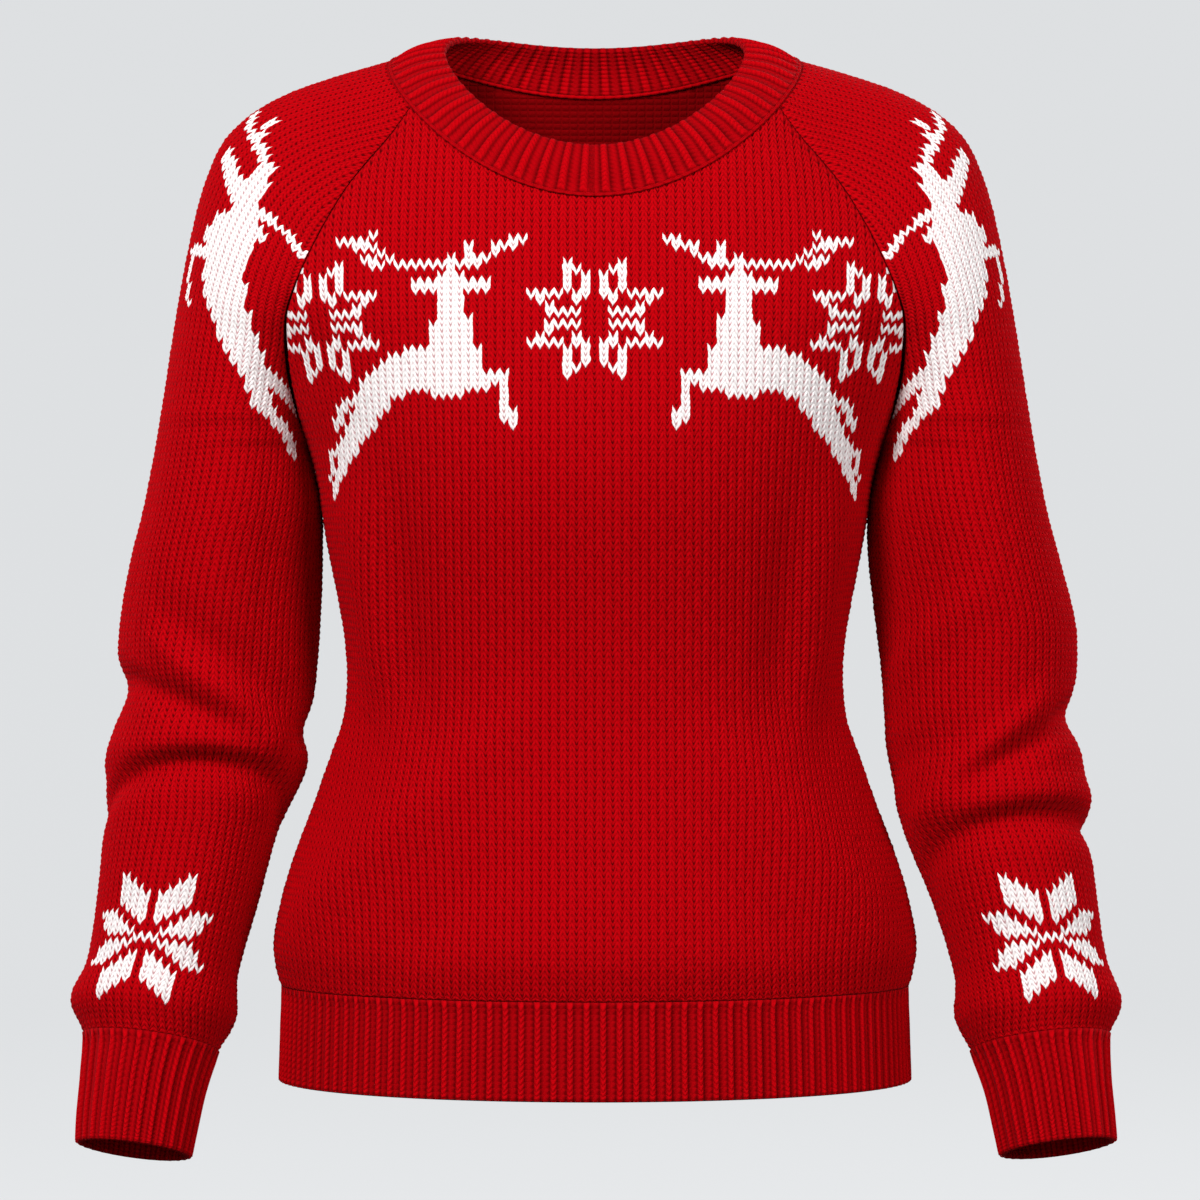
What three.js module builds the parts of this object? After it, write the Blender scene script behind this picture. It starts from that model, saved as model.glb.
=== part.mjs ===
// Christmas sweater: a knitted raglan pullover in its worn, filled-out form.
// Millimetres, +Z up, the front faces -Y and +X is to the right of a viewer who faces the front.
// The origin is the middle of the neck opening, level with the neck ends of the shoulders.
// Every piece is a knitted wall: a grid of outer points, and inner points one wall thickness below them.
import * as THREE from 'three';

// Driving dimensions
const wall = 3;
const bandWall = 3.4;
const seamGap = 0.3;
const ribRise = 1.7;
const bandCrown = 2.5;
const underarmLevel = -238;
const underarmHalfDepth = 62;
const ribTopLevel = -573;
const hemLevel = -631;

// Neck seam and upper edge of the neckband, for a turn round the neck that is 0 in the middle of the front:
// x is halfWidth times the sine; y and z are a sum of a constant, a part by the cosine and one by its square
const neckSeamCurve = { halfWidth: 127, y: [5, -80, -13], z: [-3, -39, -50] };
const neckEdgeCurve = { halfWidth: 94, y: [8, -71, -17], z: [7, -38.2, -30.5] };
const raglanFrontTurn = THREE.MathUtils.degToRad(62.6);
const raglanBackTurn = THREE.MathUtils.degToRad(127);

const neckRibs = 58;
const hemRibsPerPanel = 62;
const cuffRibs = 29;
const pointsPerRib = 2;

// How finely the walls are divided
const panelColumns = 20;
const panelBodyLevels = [
  -573, -553, -531, -506, -481, -456, -432, -408, -384, -358, -330, -302, -275, -254, -238,
];
const panelYokeRows = 9;
const capRows = 10;
const sleeveColumns = 22;
const neckBandRows = 3;
const hemRows = 2;
const cuffRows = 2;

// Rows of a sleeve below the underarm, in rows of the arm tables: they are closest at the elbow folds
const armRows = [
  0.5, 1, 1.5, 2, 2.5, 3, 3.25, 3.5, 3.75, 4, 4.2, 4.4, 4.6, 4.8, 5, 5.2, 5.4, 5.6, 5.8, 6,
  6.4, 7, 7.6, 8.2, 8.7, 9.2, 9.6, 10,
];

// Over this many rows of the cap its section is led to the neck seam, and at its other end to the arm's
const capBlendRows = 3;

// How much closer to the raglan seams the section is bent towards them near the underarm, as a power
const seamHold = 7;
const leastWrapCosine = 0.3;

// How softly a drape line fades towards its two ends, as a power
const drapeFade = 1.5;
// Drape lines grow from nothing to their full lift between these two shares of the panel's depth
const drapeStart = 0.12;
const drapeFull = 0.5;
const foldFade = 0.7;

// Torso below the underarm: half width at the side seam, and depth before and behind it
const torso = [
  { level: -631, width: 196, front: 121.5, back: 113 },
  { level: -600, width: 195, front: 121, back: 112.5 },
  { level: -573, width: 194.7, front: 121, back: 112 },
  { level: -552, width: 198.4, front: 124.5, back: 114.5 },
  { level: -521, width: 194, front: 121.5, back: 111.5 },
  { level: -496, width: 186.8, front: 117, back: 107 },
  { level: -459, width: 173, front: 111.5, back: 98 },
  { level: -434, width: 164.3, front: 108.5, back: 92 },
  { level: -409, width: 155.6, front: 107, back: 87.5 },
  { level: -385, width: 153, front: 107.5, back: 86 },
  { level: -360, width: 154.4, front: 110, back: 88 },
  { level: -335, width: 158.5, front: 114, back: 92 },
  { level: -310, width: 163.5, front: 119, back: 97 },
  { level: -285, width: 168, front: 124, back: 102 },
  { level: -258, width: 172, front: 127.5, back: 106 },
  { level: -238, width: 178, front: 128, back: 108 },
];

// Yoke above the underarm: each level is part of an ellipse that the raglan seams cut off
const frontYoke = [
  { level: -238, width: 178, depth: 128 },
  { level: -220, width: 186.5, depth: 126.5 },
  { level: -198, width: 197.5, depth: 123 },
  { level: -178, width: 210, depth: 119 },
  { level: -160, width: 226, depth: 114 },
  { level: -145, width: 234, depth: 108.5 },
  { level: -133, width: 235, depth: 104 },
  { level: -120, width: 230, depth: 99 },
  { level: -106, width: 220, depth: 94 },
  { level: -93, width: 207, depth: 88.5 },
  { level: -80, width: 192, depth: 84 },
  { level: -66, width: 172, depth: 78 },
  { level: -47, width: 153, depth: 66.5 },
  { level: -28, width: 145, depth: 52 },
];
const backYoke = [
  { level: -238, width: 178, depth: 108 },
  { level: -222, width: 186, depth: 108.8 },
  { level: -201, width: 198, depth: 110 },
  { level: -181, width: 213, depth: 110 },
  { level: -163, width: 227, depth: 109.8 },
  { level: -145, width: 237, depth: 108.5 },
  { level: -127, width: 240, depth: 106.5 },
  { level: -109, width: 236, depth: 103.5 },
  { level: -91, width: 228, depth: 99.5 },
  { level: -74, width: 217, depth: 95 },
  { level: -57, width: 205, depth: 90 },
  { level: -41, width: 193, depth: 84.5 },
  { level: -26, width: 182, depth: 78 },
  { level: -12, width: 172, depth: 71.5 },
  { level: 4, width: 162, depth: 61.5 },
];

// Sleeve cap, from the neck down: the outer line, the two raglan seams, and how far the section goes
// round below its widest place, in degrees
const cap = [
  { topX: 127, topY: 5, topZ: -3, frontX: 112.7, frontZ: -31.5, backX: 101.6, backZ: 2.4, wrap: -32 },
  { topX: 160, topY: 4, topZ: -11, frontX: 126, frontZ: -51, backX: 117, backZ: -19, wrap: -32 },
  { topX: 190, topY: 3, topZ: -21, frontX: 139, frontZ: -67, backX: 131, backZ: -40, wrap: -30 },
  { topX: 213, topY: 2, topZ: -34, frontX: 151.5, frontZ: -84, backX: 145, backZ: -64, wrap: -26 },
  { topX: 231, topY: 1, topZ: -53, frontX: 163, frontZ: -104, backX: 158, backZ: -91, wrap: -19 },
  { topX: 243, topY: 0, topZ: -83, frontX: 174, frontZ: -126.5, backX: 170, backZ: -119, wrap: -8 },
  { topX: 250.5, topY: 0, topZ: -115, frontX: 182, frontZ: -146, backX: 180, backZ: -149, wrap: 8 },
  { topX: 257, topY: 0, topZ: -150, frontX: 187.5, frontZ: -165, backX: 185.5, backZ: -175, wrap: 26 },
  { topX: 262.5, topY: 0, topZ: -184, frontX: 187.5, frontZ: -192, backX: 186, backZ: -197, wrap: 48 },
  { topX: 267.5, topY: 0, topZ: -216, frontX: 183.5, frontZ: -217, backX: 183, backZ: -218.5, wrap: 67 },
  { topX: 272, topY: 0, topZ: -243, frontX: 178, frontZ: -238, backX: 178, backZ: -238, wrap: 90 },
];

// Arms below the underarm: outer and inner edge, middle and half depth of the section, and its forward tilt
const armLeft = [
  { outerX: 279.5, outerZ: -280, innerX: 170.3, innerZ: -275, middleY: 1, depth: 62, tilt: 0 },
  { outerX: 288, outerZ: -313, innerX: 169.6, innerZ: -306, middleY: 3, depth: 61.5, tilt: 0 },
  { outerX: 294.5, outerZ: -352, innerX: 171, innerZ: -346, middleY: 5, depth: 61, tilt: 0 },
  { outerX: 297, outerZ: -394, innerX: 174.5, innerZ: -390, middleY: 5, depth: 60, tilt: 2 },
  { outerX: 301, outerZ: -436, innerX: 181, innerZ: -440, middleY: 2, depth: 58.5, tilt: 6 },
  { outerX: 303, outerZ: -474, innerX: 197, innerZ: -478, middleY: -4, depth: 55, tilt: 10 },
  { outerX: 306, outerZ: -516, innerX: 208.5, innerZ: -521, middleY: -12, depth: 52, tilt: 13 },
  { outerX: 311, outerZ: -556, innerX: 220, innerZ: -564, middleY: -22, depth: 50, tilt: 15 },
  { outerX: 320.5, outerZ: -580, innerX: 220.5, innerZ: -590, middleY: -29, depth: 51.5, tilt: 15.5 },
  { outerX: 312, outerZ: -600.5, innerX: 231, innerZ: -610.5, middleY: -36, depth: 42, tilt: 16 },
  { outerX: 312, outerZ: -624, innerX: 238.5, innerZ: -633, middleY: -43, depth: 39.5, tilt: 16 },
  { outerX: 313.5, outerZ: -648, innerX: 243.3, innerZ: -656, middleY: -49.5, depth: 37.5, tilt: 16 },
  { outerX: 313.8, outerZ: -664, innerX: 246.3, innerZ: -672, middleY: -54, depth: 36.5, tilt: 16 },
];
const armRight = [
  { outerX: 279.5, outerZ: -280, innerX: 170.3, innerZ: -275, middleY: 1, depth: 62, tilt: 0 },
  { outerX: 288.5, outerZ: -313, innerX: 170, innerZ: -306, middleY: 3, depth: 61.5, tilt: 0 },
  { outerX: 298, outerZ: -352, innerX: 174.5, innerZ: -346, middleY: 5, depth: 61, tilt: 0 },
  { outerX: 298.5, outerZ: -394, innerX: 179.5, innerZ: -390, middleY: 5, depth: 60, tilt: 2 },
  { outerX: 302, outerZ: -436, innerX: 182.5, innerZ: -440, middleY: 2, depth: 58.5, tilt: 6 },
  { outerX: 305, outerZ: -474, innerX: 192, innerZ: -478, middleY: -4, depth: 55, tilt: 10 },
  { outerX: 308.5, outerZ: -516, innerX: 209, innerZ: -521, middleY: -12, depth: 52, tilt: 13 },
  { outerX: 313.5, outerZ: -556, innerX: 221.5, innerZ: -564, middleY: -22, depth: 50, tilt: 15 },
  { outerX: 322, outerZ: -582, innerX: 221.3, innerZ: -590, middleY: -29, depth: 51.5, tilt: 15.5 },
  { outerX: 314, outerZ: -601, innerX: 230.5, innerZ: -610, middleY: -36, depth: 42, tilt: 16 },
  { outerX: 313, outerZ: -624, innerX: 239, innerZ: -633, middleY: -43, depth: 39.5, tilt: 16 },
  { outerX: 314.5, outerZ: -648, innerX: 244, innerZ: -656, middleY: -49.5, depth: 37.5, tilt: 16 },
  { outerX: 315.3, outerZ: -663, innerX: 247, innerZ: -671, middleY: -54, depth: 36.5, tilt: 16 },
];
const cuffRowsInArm = 3;

// Folds round a sleeve. turn: degrees, 90 is the outer line, 0 the front, -90 the inner line, 180 the back.
// A fold runs reach degrees to each side of turn. Its level is its height in the middle, rise is how much
// higher its outer end is than its middle, and bow how much lower both ends are. Then come its width above
// and below, and its lift.
const foldsLeft = [
  { turn: 0, reach: 100, level: -432, rise: 0, bow: 44, above: 6, below: 12, lift: -9 },
  { turn: 0, reach: 105, level: -420, rise: 0, bow: 24, above: 12, below: 9, lift: 4.5 },
  { turn: 30, reach: 68, level: -391, rise: 22, bow: 14, above: 9, below: 9, lift: -6.5 },
  { turn: 90, reach: 50, level: -394, rise: 0, bow: 0, above: 13, below: 16, lift: -7 },
  { turn: -5, reach: 48, level: -388, rise: 34, bow: 0, above: 8, below: 12, lift: 5 },
  { turn: -12, reach: 50, level: -371, rise: 36, bow: 0, above: 16, below: 9, lift: -4 },
  { turn: -90, reach: 40, level: -417, rise: 0, bow: 6, above: 14, below: 10, lift: -5 },
  { turn: 150, reach: 60, level: -405, rise: -12, bow: 6, above: 10, below: 12, lift: -5 },
  { turn: 195, reach: 60, level: -447, rise: -14, bow: 10, above: 9, below: 11, lift: -6 },
  { turn: 190, reach: 60, level: -428, rise: -12, bow: 8, above: 10, below: 8, lift: 3.5 },
  { turn: 10, reach: 70, level: -520, rise: 5, bow: 6, above: 12, below: 12, lift: -1.5 },
  { turn: 14, reach: 42, level: -310, rise: 0, bow: 0, above: 60, below: 70, lift: 4 },
  { turn: -46, reach: 44, level: -330, rise: 0, bow: 0, above: 60, below: 70, lift: -3 },
];
const foldsRight = [
  { turn: 20, reach: 110, level: -464, rise: 6, bow: 40, above: 6, below: 13, lift: -9 },
  { turn: 15, reach: 110, level: -452, rise: 8, bow: 26, above: 11, below: 9, lift: 4.5 },
  { turn: 32, reach: 62, level: -418, rise: 28, bow: 3, above: 9, below: 9, lift: -6 },
  { turn: 90, reach: 50, level: -409, rise: 0, bow: 0, above: 13, below: 13, lift: -8 },
  { turn: -12, reach: 55, level: -431, rise: 44, bow: 0, above: 9, below: 11, lift: 5 },
  { turn: -40, reach: 55, level: -362, rise: 40, bow: 0, above: 14, below: 14, lift: 3 },
  { turn: -60, reach: 50, level: -432, rise: 20, bow: 0, above: 14, below: 12, lift: -4 },
  { turn: 155, reach: 60, level: -420, rise: -12, bow: 6, above: 10, below: 12, lift: -5 },
  { turn: 200, reach: 60, level: -470, rise: -12, bow: 10, above: 9, below: 11, lift: -6 },
  { turn: 195, reach: 60, level: -452, rise: -12, bow: 8, above: 10, below: 8, lift: 3.5 },
  { turn: 10, reach: 70, level: -535, rise: -5, bow: 6, above: 12, below: 12, lift: -1.5 },
  { turn: 18, reach: 42, level: -315, rise: 0, bow: 0, above: 60, below: 70, lift: 3.5 },
  { turn: -44, reach: 44, level: -330, rise: 0, bow: 0, above: 60, below: 70, lift: -3 },
];

// Drape lines on the body panels: a soft ridge or trough along a straight line on the panel
const drapeFront = [
  { fromX: -150, fromZ: -225, toX: -124, toZ: -430, width: 14, lift: 7 },
  { fromX: -122, fromZ: -245, toX: -108, toZ: -430, width: 13, lift: -4.5 },
  { fromX: -20, fromZ: -380, toX: -150, toZ: -500, width: 20, lift: 4.5 },
  { fromX: -80, fromZ: -435, toX: -235, toZ: -575, width: 19, lift: 7.5 },
  { fromX: -98, fromZ: -350, toX: -185, toZ: -500, width: 16, lift: -4.5 },
  { fromX: -40, fromZ: -470, toX: -150, toZ: -580, width: 18, lift: -4 },
  { fromX: 148, fromZ: -225, toX: 126, toZ: -440, width: 14, lift: 6 },
  { fromX: 120, fromZ: -250, toX: 108, toZ: -430, width: 13, lift: -4 },
  { fromX: 50, fromZ: -400, toX: 215, toZ: -575, width: 20, lift: 5.5 },
  { fromX: 98, fromZ: -350, toX: 185, toZ: -500, width: 16, lift: -3.5 },
  { fromX: 60, fromZ: -480, toX: 160, toZ: -585, width: 18, lift: -3 },
];
const drapeBack = [
  { fromX: -48, fromZ: -339, toX: -152, toZ: -391, width: 15, lift: 5 },
  { fromX: -37, fromZ: -366, toX: -148, toZ: -418, width: 13, lift: -4.6 },
  { fromX: -15, fromZ: -394, toX: -145, toZ: -460, width: 17, lift: 4.5 },
  { fromX: 42, fromZ: -344, toX: 155, toZ: -398, width: 15, lift: 4.8 },
  { fromX: 25, fromZ: -372, toX: 153, toZ: -426, width: 13, lift: -4.4 },
  { fromX: 10, fromZ: -403, toX: 140, toZ: -479, width: 17, lift: 4.7 },
  { fromX: -91, fromZ: -132, toX: -122, toZ: -288, width: 18, lift: 3.6 },
  { fromX: 95, fromZ: -137, toX: 119, toZ: -293, width: 18, lift: 3.6 },
];

const { degToRad, radToDeg, clamp, lerp, smoothstep, euclideanModulo } = THREE.MathUtils;
const quarter = Math.PI / 2;

/** A table column as a smooth function of another one: cubic pieces that share slopes at the rows. */
function column(rows, key, name) {
  const at = rows.map((row) => row[key]);
  const value = rows.map((row) => row[name]);
  const last = rows.length - 1;
  const secant = (i) => (value[i + 1] - value[i]) / (at[i + 1] - at[i]);
  const slope = value.map((_, i) => {
    if (i === 0) return secant(0);
    if (i === last) return secant(last - 1);
    const before = at[i] - at[i - 1];
    const after = at[i + 1] - at[i];
    return (secant(i - 1) * after + secant(i) * before) / (before + after);
  });
  return (x) => {
    const inside = clamp(x, at[0], at[last]);
    const i = Math.min(Math.max(at.findIndex((edge) => edge > inside) - 1, 0), last - 1);
    const start = inside === at[last] ? last - 1 : i;
    const step = at[start + 1] - at[start];
    const t = (inside - at[start]) / step;
    return value[start] * (1 + 2 * t) * (1 - t) ** 2 + slope[start] * step * t * (1 - t) ** 2
      + value[start + 1] * t * t * (3 - 2 * t) + slope[start + 1] * step * t * t * (t - 1);
  };
}

const columns = (rows, key, names) => Object.fromEntries(
  names.map((name) => [name, column(rows, key, name)]),
);
const point = (x, y, z) => new THREE.Vector3(x, y, z);
const steps = (count, make) => Array.from({ length: count + 1 }, (_, i) => make(i / count, i));

const torsoAt = columns(torso, 'level', ['width', 'front', 'back']);
const yokeAt = {
  front: columns(frontYoke, 'level', ['width', 'depth']),
  back: columns(backYoke, 'level', ['width', 'depth']),
};

/** Half width and depth of the body's ellipse on one side (front or back) at a level. */
function ellipseAt(side, level) {
  if (level < underarmLevel) return { width: torsoAt.width(level), depth: torsoAt[side](level) };
  return { width: yokeAt[side].width(level), depth: yokeAt[side].depth(level) };
}

/** How far before or behind the middle plane the body lies at a place on the front or back. */
function bodyDepth(side, x, level) {
  const { width, depth } = ellipseAt(side, level);
  return depth * Math.sqrt(Math.max(1 - (x / width) ** 2, 0));
}

/** Outward direction of the body's ellipse, from its formula's slopes across, in depth and in height. */
function bodyOutward(side, toward, x, z) {
  const { width, depth } = ellipseAt(side, z);
  const y = bodyDepth(side, x, z);
  const rim = (level) => {
    const at = ellipseAt(side, level);
    return (x / at.width) ** 2 + (y / at.depth) ** 2;
  };
  const probe = 4;
  const halfSlope = (rim(z + probe) - rim(z - probe)) / (4 * probe);
  return point(x / width ** 2, (toward * y) / depth ** 2, halfSlope).normalize();
}

/** Soft ridges or troughs: bell curves of the distance to each line, fading at its ends and the sides. */
function drapeLift(side, lines, x, z) {
  const fromSide = smoothstep(bodyDepth(side, x, z) / ellipseAt(side, z).depth, drapeStart, drapeFull);
  return fromSide * lines.reduce((sum, line) => {
    const runX = line.toX - line.fromX;
    const runZ = line.toZ - line.fromZ;
    const t = clamp(((x - line.fromX) * runX + (z - line.fromZ) * runZ) / (runX ** 2 + runZ ** 2), 0, 1);
    const distance = Math.hypot(x - line.fromX - t * runX, z - line.fromZ - t * runZ);
    const fade = (1 - (2 * t - 1) ** 2) ** drapeFade;
    return sum + fade * line.lift * Math.exp(-((distance / line.width) ** 2));
  }, 0);
}

/** A place on one of the neck curves: turn 0 is the middle of the front, a quarter turn the +X side. */
function neckPlace(curve, turn) {
  const forward = Math.cos(turn);
  const sum = ([constant, byCosine, bySquare]) => constant + byCosine * forward + bySquare * forward ** 2;
  return point(curve.halfWidth * Math.sin(turn), sum(curve.y), sum(curve.z));
}
const neckSeam = (turn) => neckPlace(neckSeamCurve, turn);
const neckEdge = (turn) => neckPlace(neckEdgeCurve, turn);

/** Outward direction of the wall's edge along the neck seam, shared by all the pieces that meet there. */
function neckOutward(turn) {
  const probe = 0.01;
  const along = neckSeam(turn + probe).sub(neckSeam(turn - probe));
  return along.cross(neckEdge(turn).sub(neckSeam(turn))).normalize();
}

const capTable = cap.map((row, i) => ({ ...row, row: i }));
const capAt = columns(capTable, 'row', [
  'topX', 'topY', 'topZ', 'frontX', 'frontZ', 'backX', 'backZ', 'wrap',
]);

/** End of the sleeve section on a raglan seam. It lies on the front or back panel's surface. */
function raglanPoint(side, row) {
  const x = capAt[`${side}X`](row);
  const z = capAt[`${side}Z`](row);
  const depth = row >= capRows ? 0 : bodyDepth(side, x, z);
  return point(x, side === 'front' ? -depth : depth, z);
}

/** One sleeve as a function of a row (0 at the neck, capRows at the underarm) and around, 0 to 1. */
function sleeveShape(arm, folds) {
  const underarm = cap[capRows];
  const first = {
    row: capRows,
    outerX: underarm.topX,
    outerZ: underarm.topZ,
    innerX: underarm.frontX,
    innerZ: underarm.frontZ,
    middleY: 0,
    depth: underarmHalfDepth,
    tilt: 0,
  };
  const rows = [first, ...arm.map((row, i) => ({ ...row, row: capRows + 1 + i }))];
  const armAt = columns(rows, 'row', ['outerX', 'outerZ', 'innerX', 'innerZ', 'middleY', 'depth', 'tilt']);

  function section(row) {
    if (row > capRows) {
      const outer = point(armAt.outerX(row), armAt.middleY(row), armAt.outerZ(row));
      const inner = point(armAt.innerX(row), armAt.middleY(row), armAt.innerZ(row));
      const depth = armAt.depth(row);
      return { outer, front: inner, back: inner, wrap: quarter, depth, tilt: armAt.tilt(row), hold: 1 };
    }
    const front = raglanPoint('front', row);
    const back = raglanPoint('back', row);
    const wrap = degToRad(capAt.wrap(row));
    const halfGap = front.distanceTo(back) / 2;
    const nearArm = smoothstep(row, capRows - capBlendRows, capRows);
    const depth = lerp(halfGap / Math.max(Math.cos(wrap), leastWrapCosine), underarmHalfDepth, nearArm);
    const outer = point(capAt.topX(row), capAt.topY(row), capAt.topZ(row));
    return { outer, front, back, wrap, depth, tilt: 0, hold: 1 + seamHold * nearArm };
  }

  function foldLift(turn, z) {
    return folds.reduce((sum, fold) => {
      const away = euclideanModulo(turn - fold.turn + 180, 360) - 180;
      const t = away / fold.reach;
      if (Math.abs(t) >= 1) return sum;
      const level = fold.level + fold.rise * t - fold.bow * t * t;
      const width = z > level ? fold.above : fold.below;
      const fade = Math.cos(quarter * t) ** foldFade;
      return sum + fold.lift * fade * Math.exp(-(((z - level) / width) ** 2));
    }, 0);
  }

  return function at(row, around) {
    const { outer, front, back, wrap, depth, tilt, hold } = section(row);
    const middle = front.clone().add(back).multiplyScalar(0.5);
    const up = outer.clone().sub(middle);
    const half = up.length() / (1 + Math.sin(wrap));
    up.normalize();
    const centre = outer.clone().addScaledVector(up, -half);
    const forward = point(0, -Math.cos(degToRad(tilt)), Math.sin(degToRad(tilt)));
    const place = (angle) => centre.clone()
      .addScaledVector(up, half * Math.sin(angle))
      .addScaledVector(forward, depth * Math.cos(angle));
    const angle = -wrap + around * (Math.PI + 2 * wrap);
    const spot = place(angle)
      .addScaledVector(front.clone().sub(place(-wrap)), Math.max(1 - around, 0) ** hold)
      .addScaledVector(back.clone().sub(place(Math.PI + wrap)), Math.max(around, 0) ** hold);
    const outward = up.clone().multiplyScalar(depth * Math.sin(angle))
      .addScaledVector(forward, half * Math.cos(angle))
      .normalize();
    return spot.addScaledVector(outward, foldLift(radToDeg(angle), spot.z));
  };
}

/** Normals of a grid of points, from the crossed differences to its neighbours. */
function normals(grid, ring, flip) {
  const last = grid.length - 1;
  return grid.map((row, i) => row.map((_, j) => {
    const count = row.length;
    const left = ring ? (j + count - 1) % count : Math.max(j - 1, 0);
    const right = ring ? (j + 1) % count : Math.min(j + 1, count - 1);
    const along = row[right].clone().sub(row[left]);
    const across = grid[Math.min(i + 1, last)][j].clone().sub(grid[Math.max(i - 1, 0)][j]);
    return along.cross(across).normalize().multiplyScalar(flip);
  }));
}

/** A copy of a grid moved along its normals by a distance that may depend on the column. */
function moved(grid, normal, distance) {
  return grid.map((row, i) => row.map((p, j) => p.clone().addScaledVector(normal[i][j], distance(j, i))));
}

/** Outward direction of a sleeve, from the differences of its shape round it and along it. */
function sleeveOutward(at, row, around) {
  const probe = 0.02;
  const start = Math.max(row - probe, 0);
  const across = at(row, around + probe / 4).sub(at(row, around - probe / 4));
  const along = at(row + probe, around).sub(at(start, around));
  return along.cross(across).normalize();
}

/** A closed wall between an outer and an inner grid with the same columns, as one mesh. */
function wallMesh(name, outer, inner, ring, material) {
  const count = outer[0].length;
  const inside = outer.length * count;
  const o = (i, j) => i * count + (j % count);
  const n = (i, j) => inside + i * count + (j % count);
  const triangles = [];
  const spans = ring ? count : count - 1;
  const outerLast = outer.length - 1;
  const innerLast = inner.length - 1;
  for (let j = 0; j < spans; j += 1) {
    for (let i = 0; i < outerLast; i += 1) {
      triangles.push([o(i, j), o(i, j + 1), o(i + 1, j + 1)], [o(i, j), o(i + 1, j + 1), o(i + 1, j)]);
    }
    for (let i = 0; i < innerLast; i += 1) {
      triangles.push([n(i, j), n(i + 1, j + 1), n(i, j + 1)], [n(i, j), n(i + 1, j), n(i + 1, j + 1)]);
    }
    triangles.push([o(0, j + 1), o(0, j), n(0, j)], [o(0, j + 1), n(0, j), n(0, j + 1)]);
    triangles.push([o(outerLast, j), o(outerLast, j + 1), n(innerLast, j + 1)]);
    triangles.push([o(outerLast, j), n(innerLast, j + 1), n(innerLast, j)]);
  }
  if (!ring) {
    const rim = (j, turn) => {
      let i = 0;
      let k = 0;
      while (i < outerLast || k < innerLast) {
        const stepOuter = k === innerLast || (i < outerLast && (i + 1) / outerLast <= (k + 1) / innerLast);
        const face = stepOuter ? [o(i, j), o(i + 1, j), n(k, j)] : [o(i, j), n(k + 1, j), n(k, j)];
        triangles.push(turn ? face.reverse() : face);
        if (stepOuter) i += 1;
        else k += 1;
      }
    };
    rim(0, false);
    rim(count - 1, true);
  }
  const points = [...outer.flat(), ...inner.flat()];
  const volume = triangles.reduce(
    (sum, [a, b, c]) => sum + points[a].dot(points[b].clone().cross(points[c])),
    0,
  );
  const facing = volume < 0 ? triangles.map((face) => face.reverse()) : triangles;
  const geometry = new THREE.BufferGeometry();
  geometry.setAttribute('position', new THREE.Float32BufferAttribute(points.flatMap((p) => p.toArray()), 3));
  geometry.setIndex(facing.flat());
  geometry.computeVertexNormals();
  const mesh = new THREE.Mesh(geometry, material);
  mesh.name = name;
  return mesh;
}

const mirrored = (grid) => grid.map((row) => row.map((p) => point(-p.x, p.y, p.z)));

const redKnit = new THREE.MeshStandardMaterial({ color: 0xb80012, roughness: 0.92, metalness: 0 });
const redRib = new THREE.MeshStandardMaterial({ color: 0xa80010, roughness: 0.92, metalness: 0 });

const sweater = new THREE.Group();
sweater.name = 'christmas_sweater';

/** A body panel: level rows up to the underarm, then rows that bend down in the middle to the neckline. */
function bodyPanel(side, lines) {
  const front = side === 'front';
  const toward = front ? -1 : 1;
  const inset = seamGap / 2;
  const onBody = (x, z, edgeOutward) => {
    const outward = edgeOutward ?? bodyOutward(side, toward, x, z);
    const skin = point(x, toward * (bodyDepth(side, x, z) + inset), z);
    skin.addScaledVector(outward, drapeLift(side, lines, x, z));
    return { skin, lining: skin.clone().addScaledVector(outward, -wall) };
  };
  const lowest = ribTopLevel + inset;
  const body = panelBodyLevels.map((level) => {
    const z = Math.max(level, lowest);
    const width = ellipseAt(side, z).width - (level === underarmLevel ? inset : 0);
    return steps(panelColumns, (t) => onBody(width * Math.sin((t * 2 - 1) * quarter), z));
  });
  const neckEnd = neckSeam(front ? raglanFrontTurn : raglanBackTurn);
  const yoke = steps(panelYokeRows, (share) => {
    const row = capRows * (1 - share);
    const end = raglanPoint(side, row);
    const endX = end.x - seamGap;
    const round = Math.asin(clamp(endX / ellipseAt(side, end.z).width, 0, 1));
    const dip = share ** 2;
    return steps(panelColumns, (t) => {
      const across = Math.sin((t * 2 - 1) * round) / Math.sin(round);
      const aside = Math.asin(clamp((neckEnd.x * across) / neckSeamCurve.halfWidth, -1, 1));
      const turn = front ? aside : Math.PI - aside;
      const seam = neckSeam(turn);
      const z = end.z - dip * (neckEnd.z - seam.z) - dip * seamGap;
      const spot = onBody(endX * across, z, share === 1 ? neckOutward(turn) : undefined);
      const toSeam = share ** 4 * (seam.y - toward * bodyDepth(side, seam.x, seam.z));
      spot.skin.y += toSeam;
      spot.lining.y += toSeam;
      return spot;
    });
  }).slice(1);
  const rows = [...body, ...yoke];
  const outer = rows.map((row) => row.map((spot) => spot.skin));
  const inner = rows.map((row) => row.map((spot) => spot.lining));
  return wallMesh(`${side}_panel`, outer, inner, false, redKnit);
}
sweater.add(bodyPanel('front', drapeFront), bodyPanel('back', drapeBack));

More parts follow.
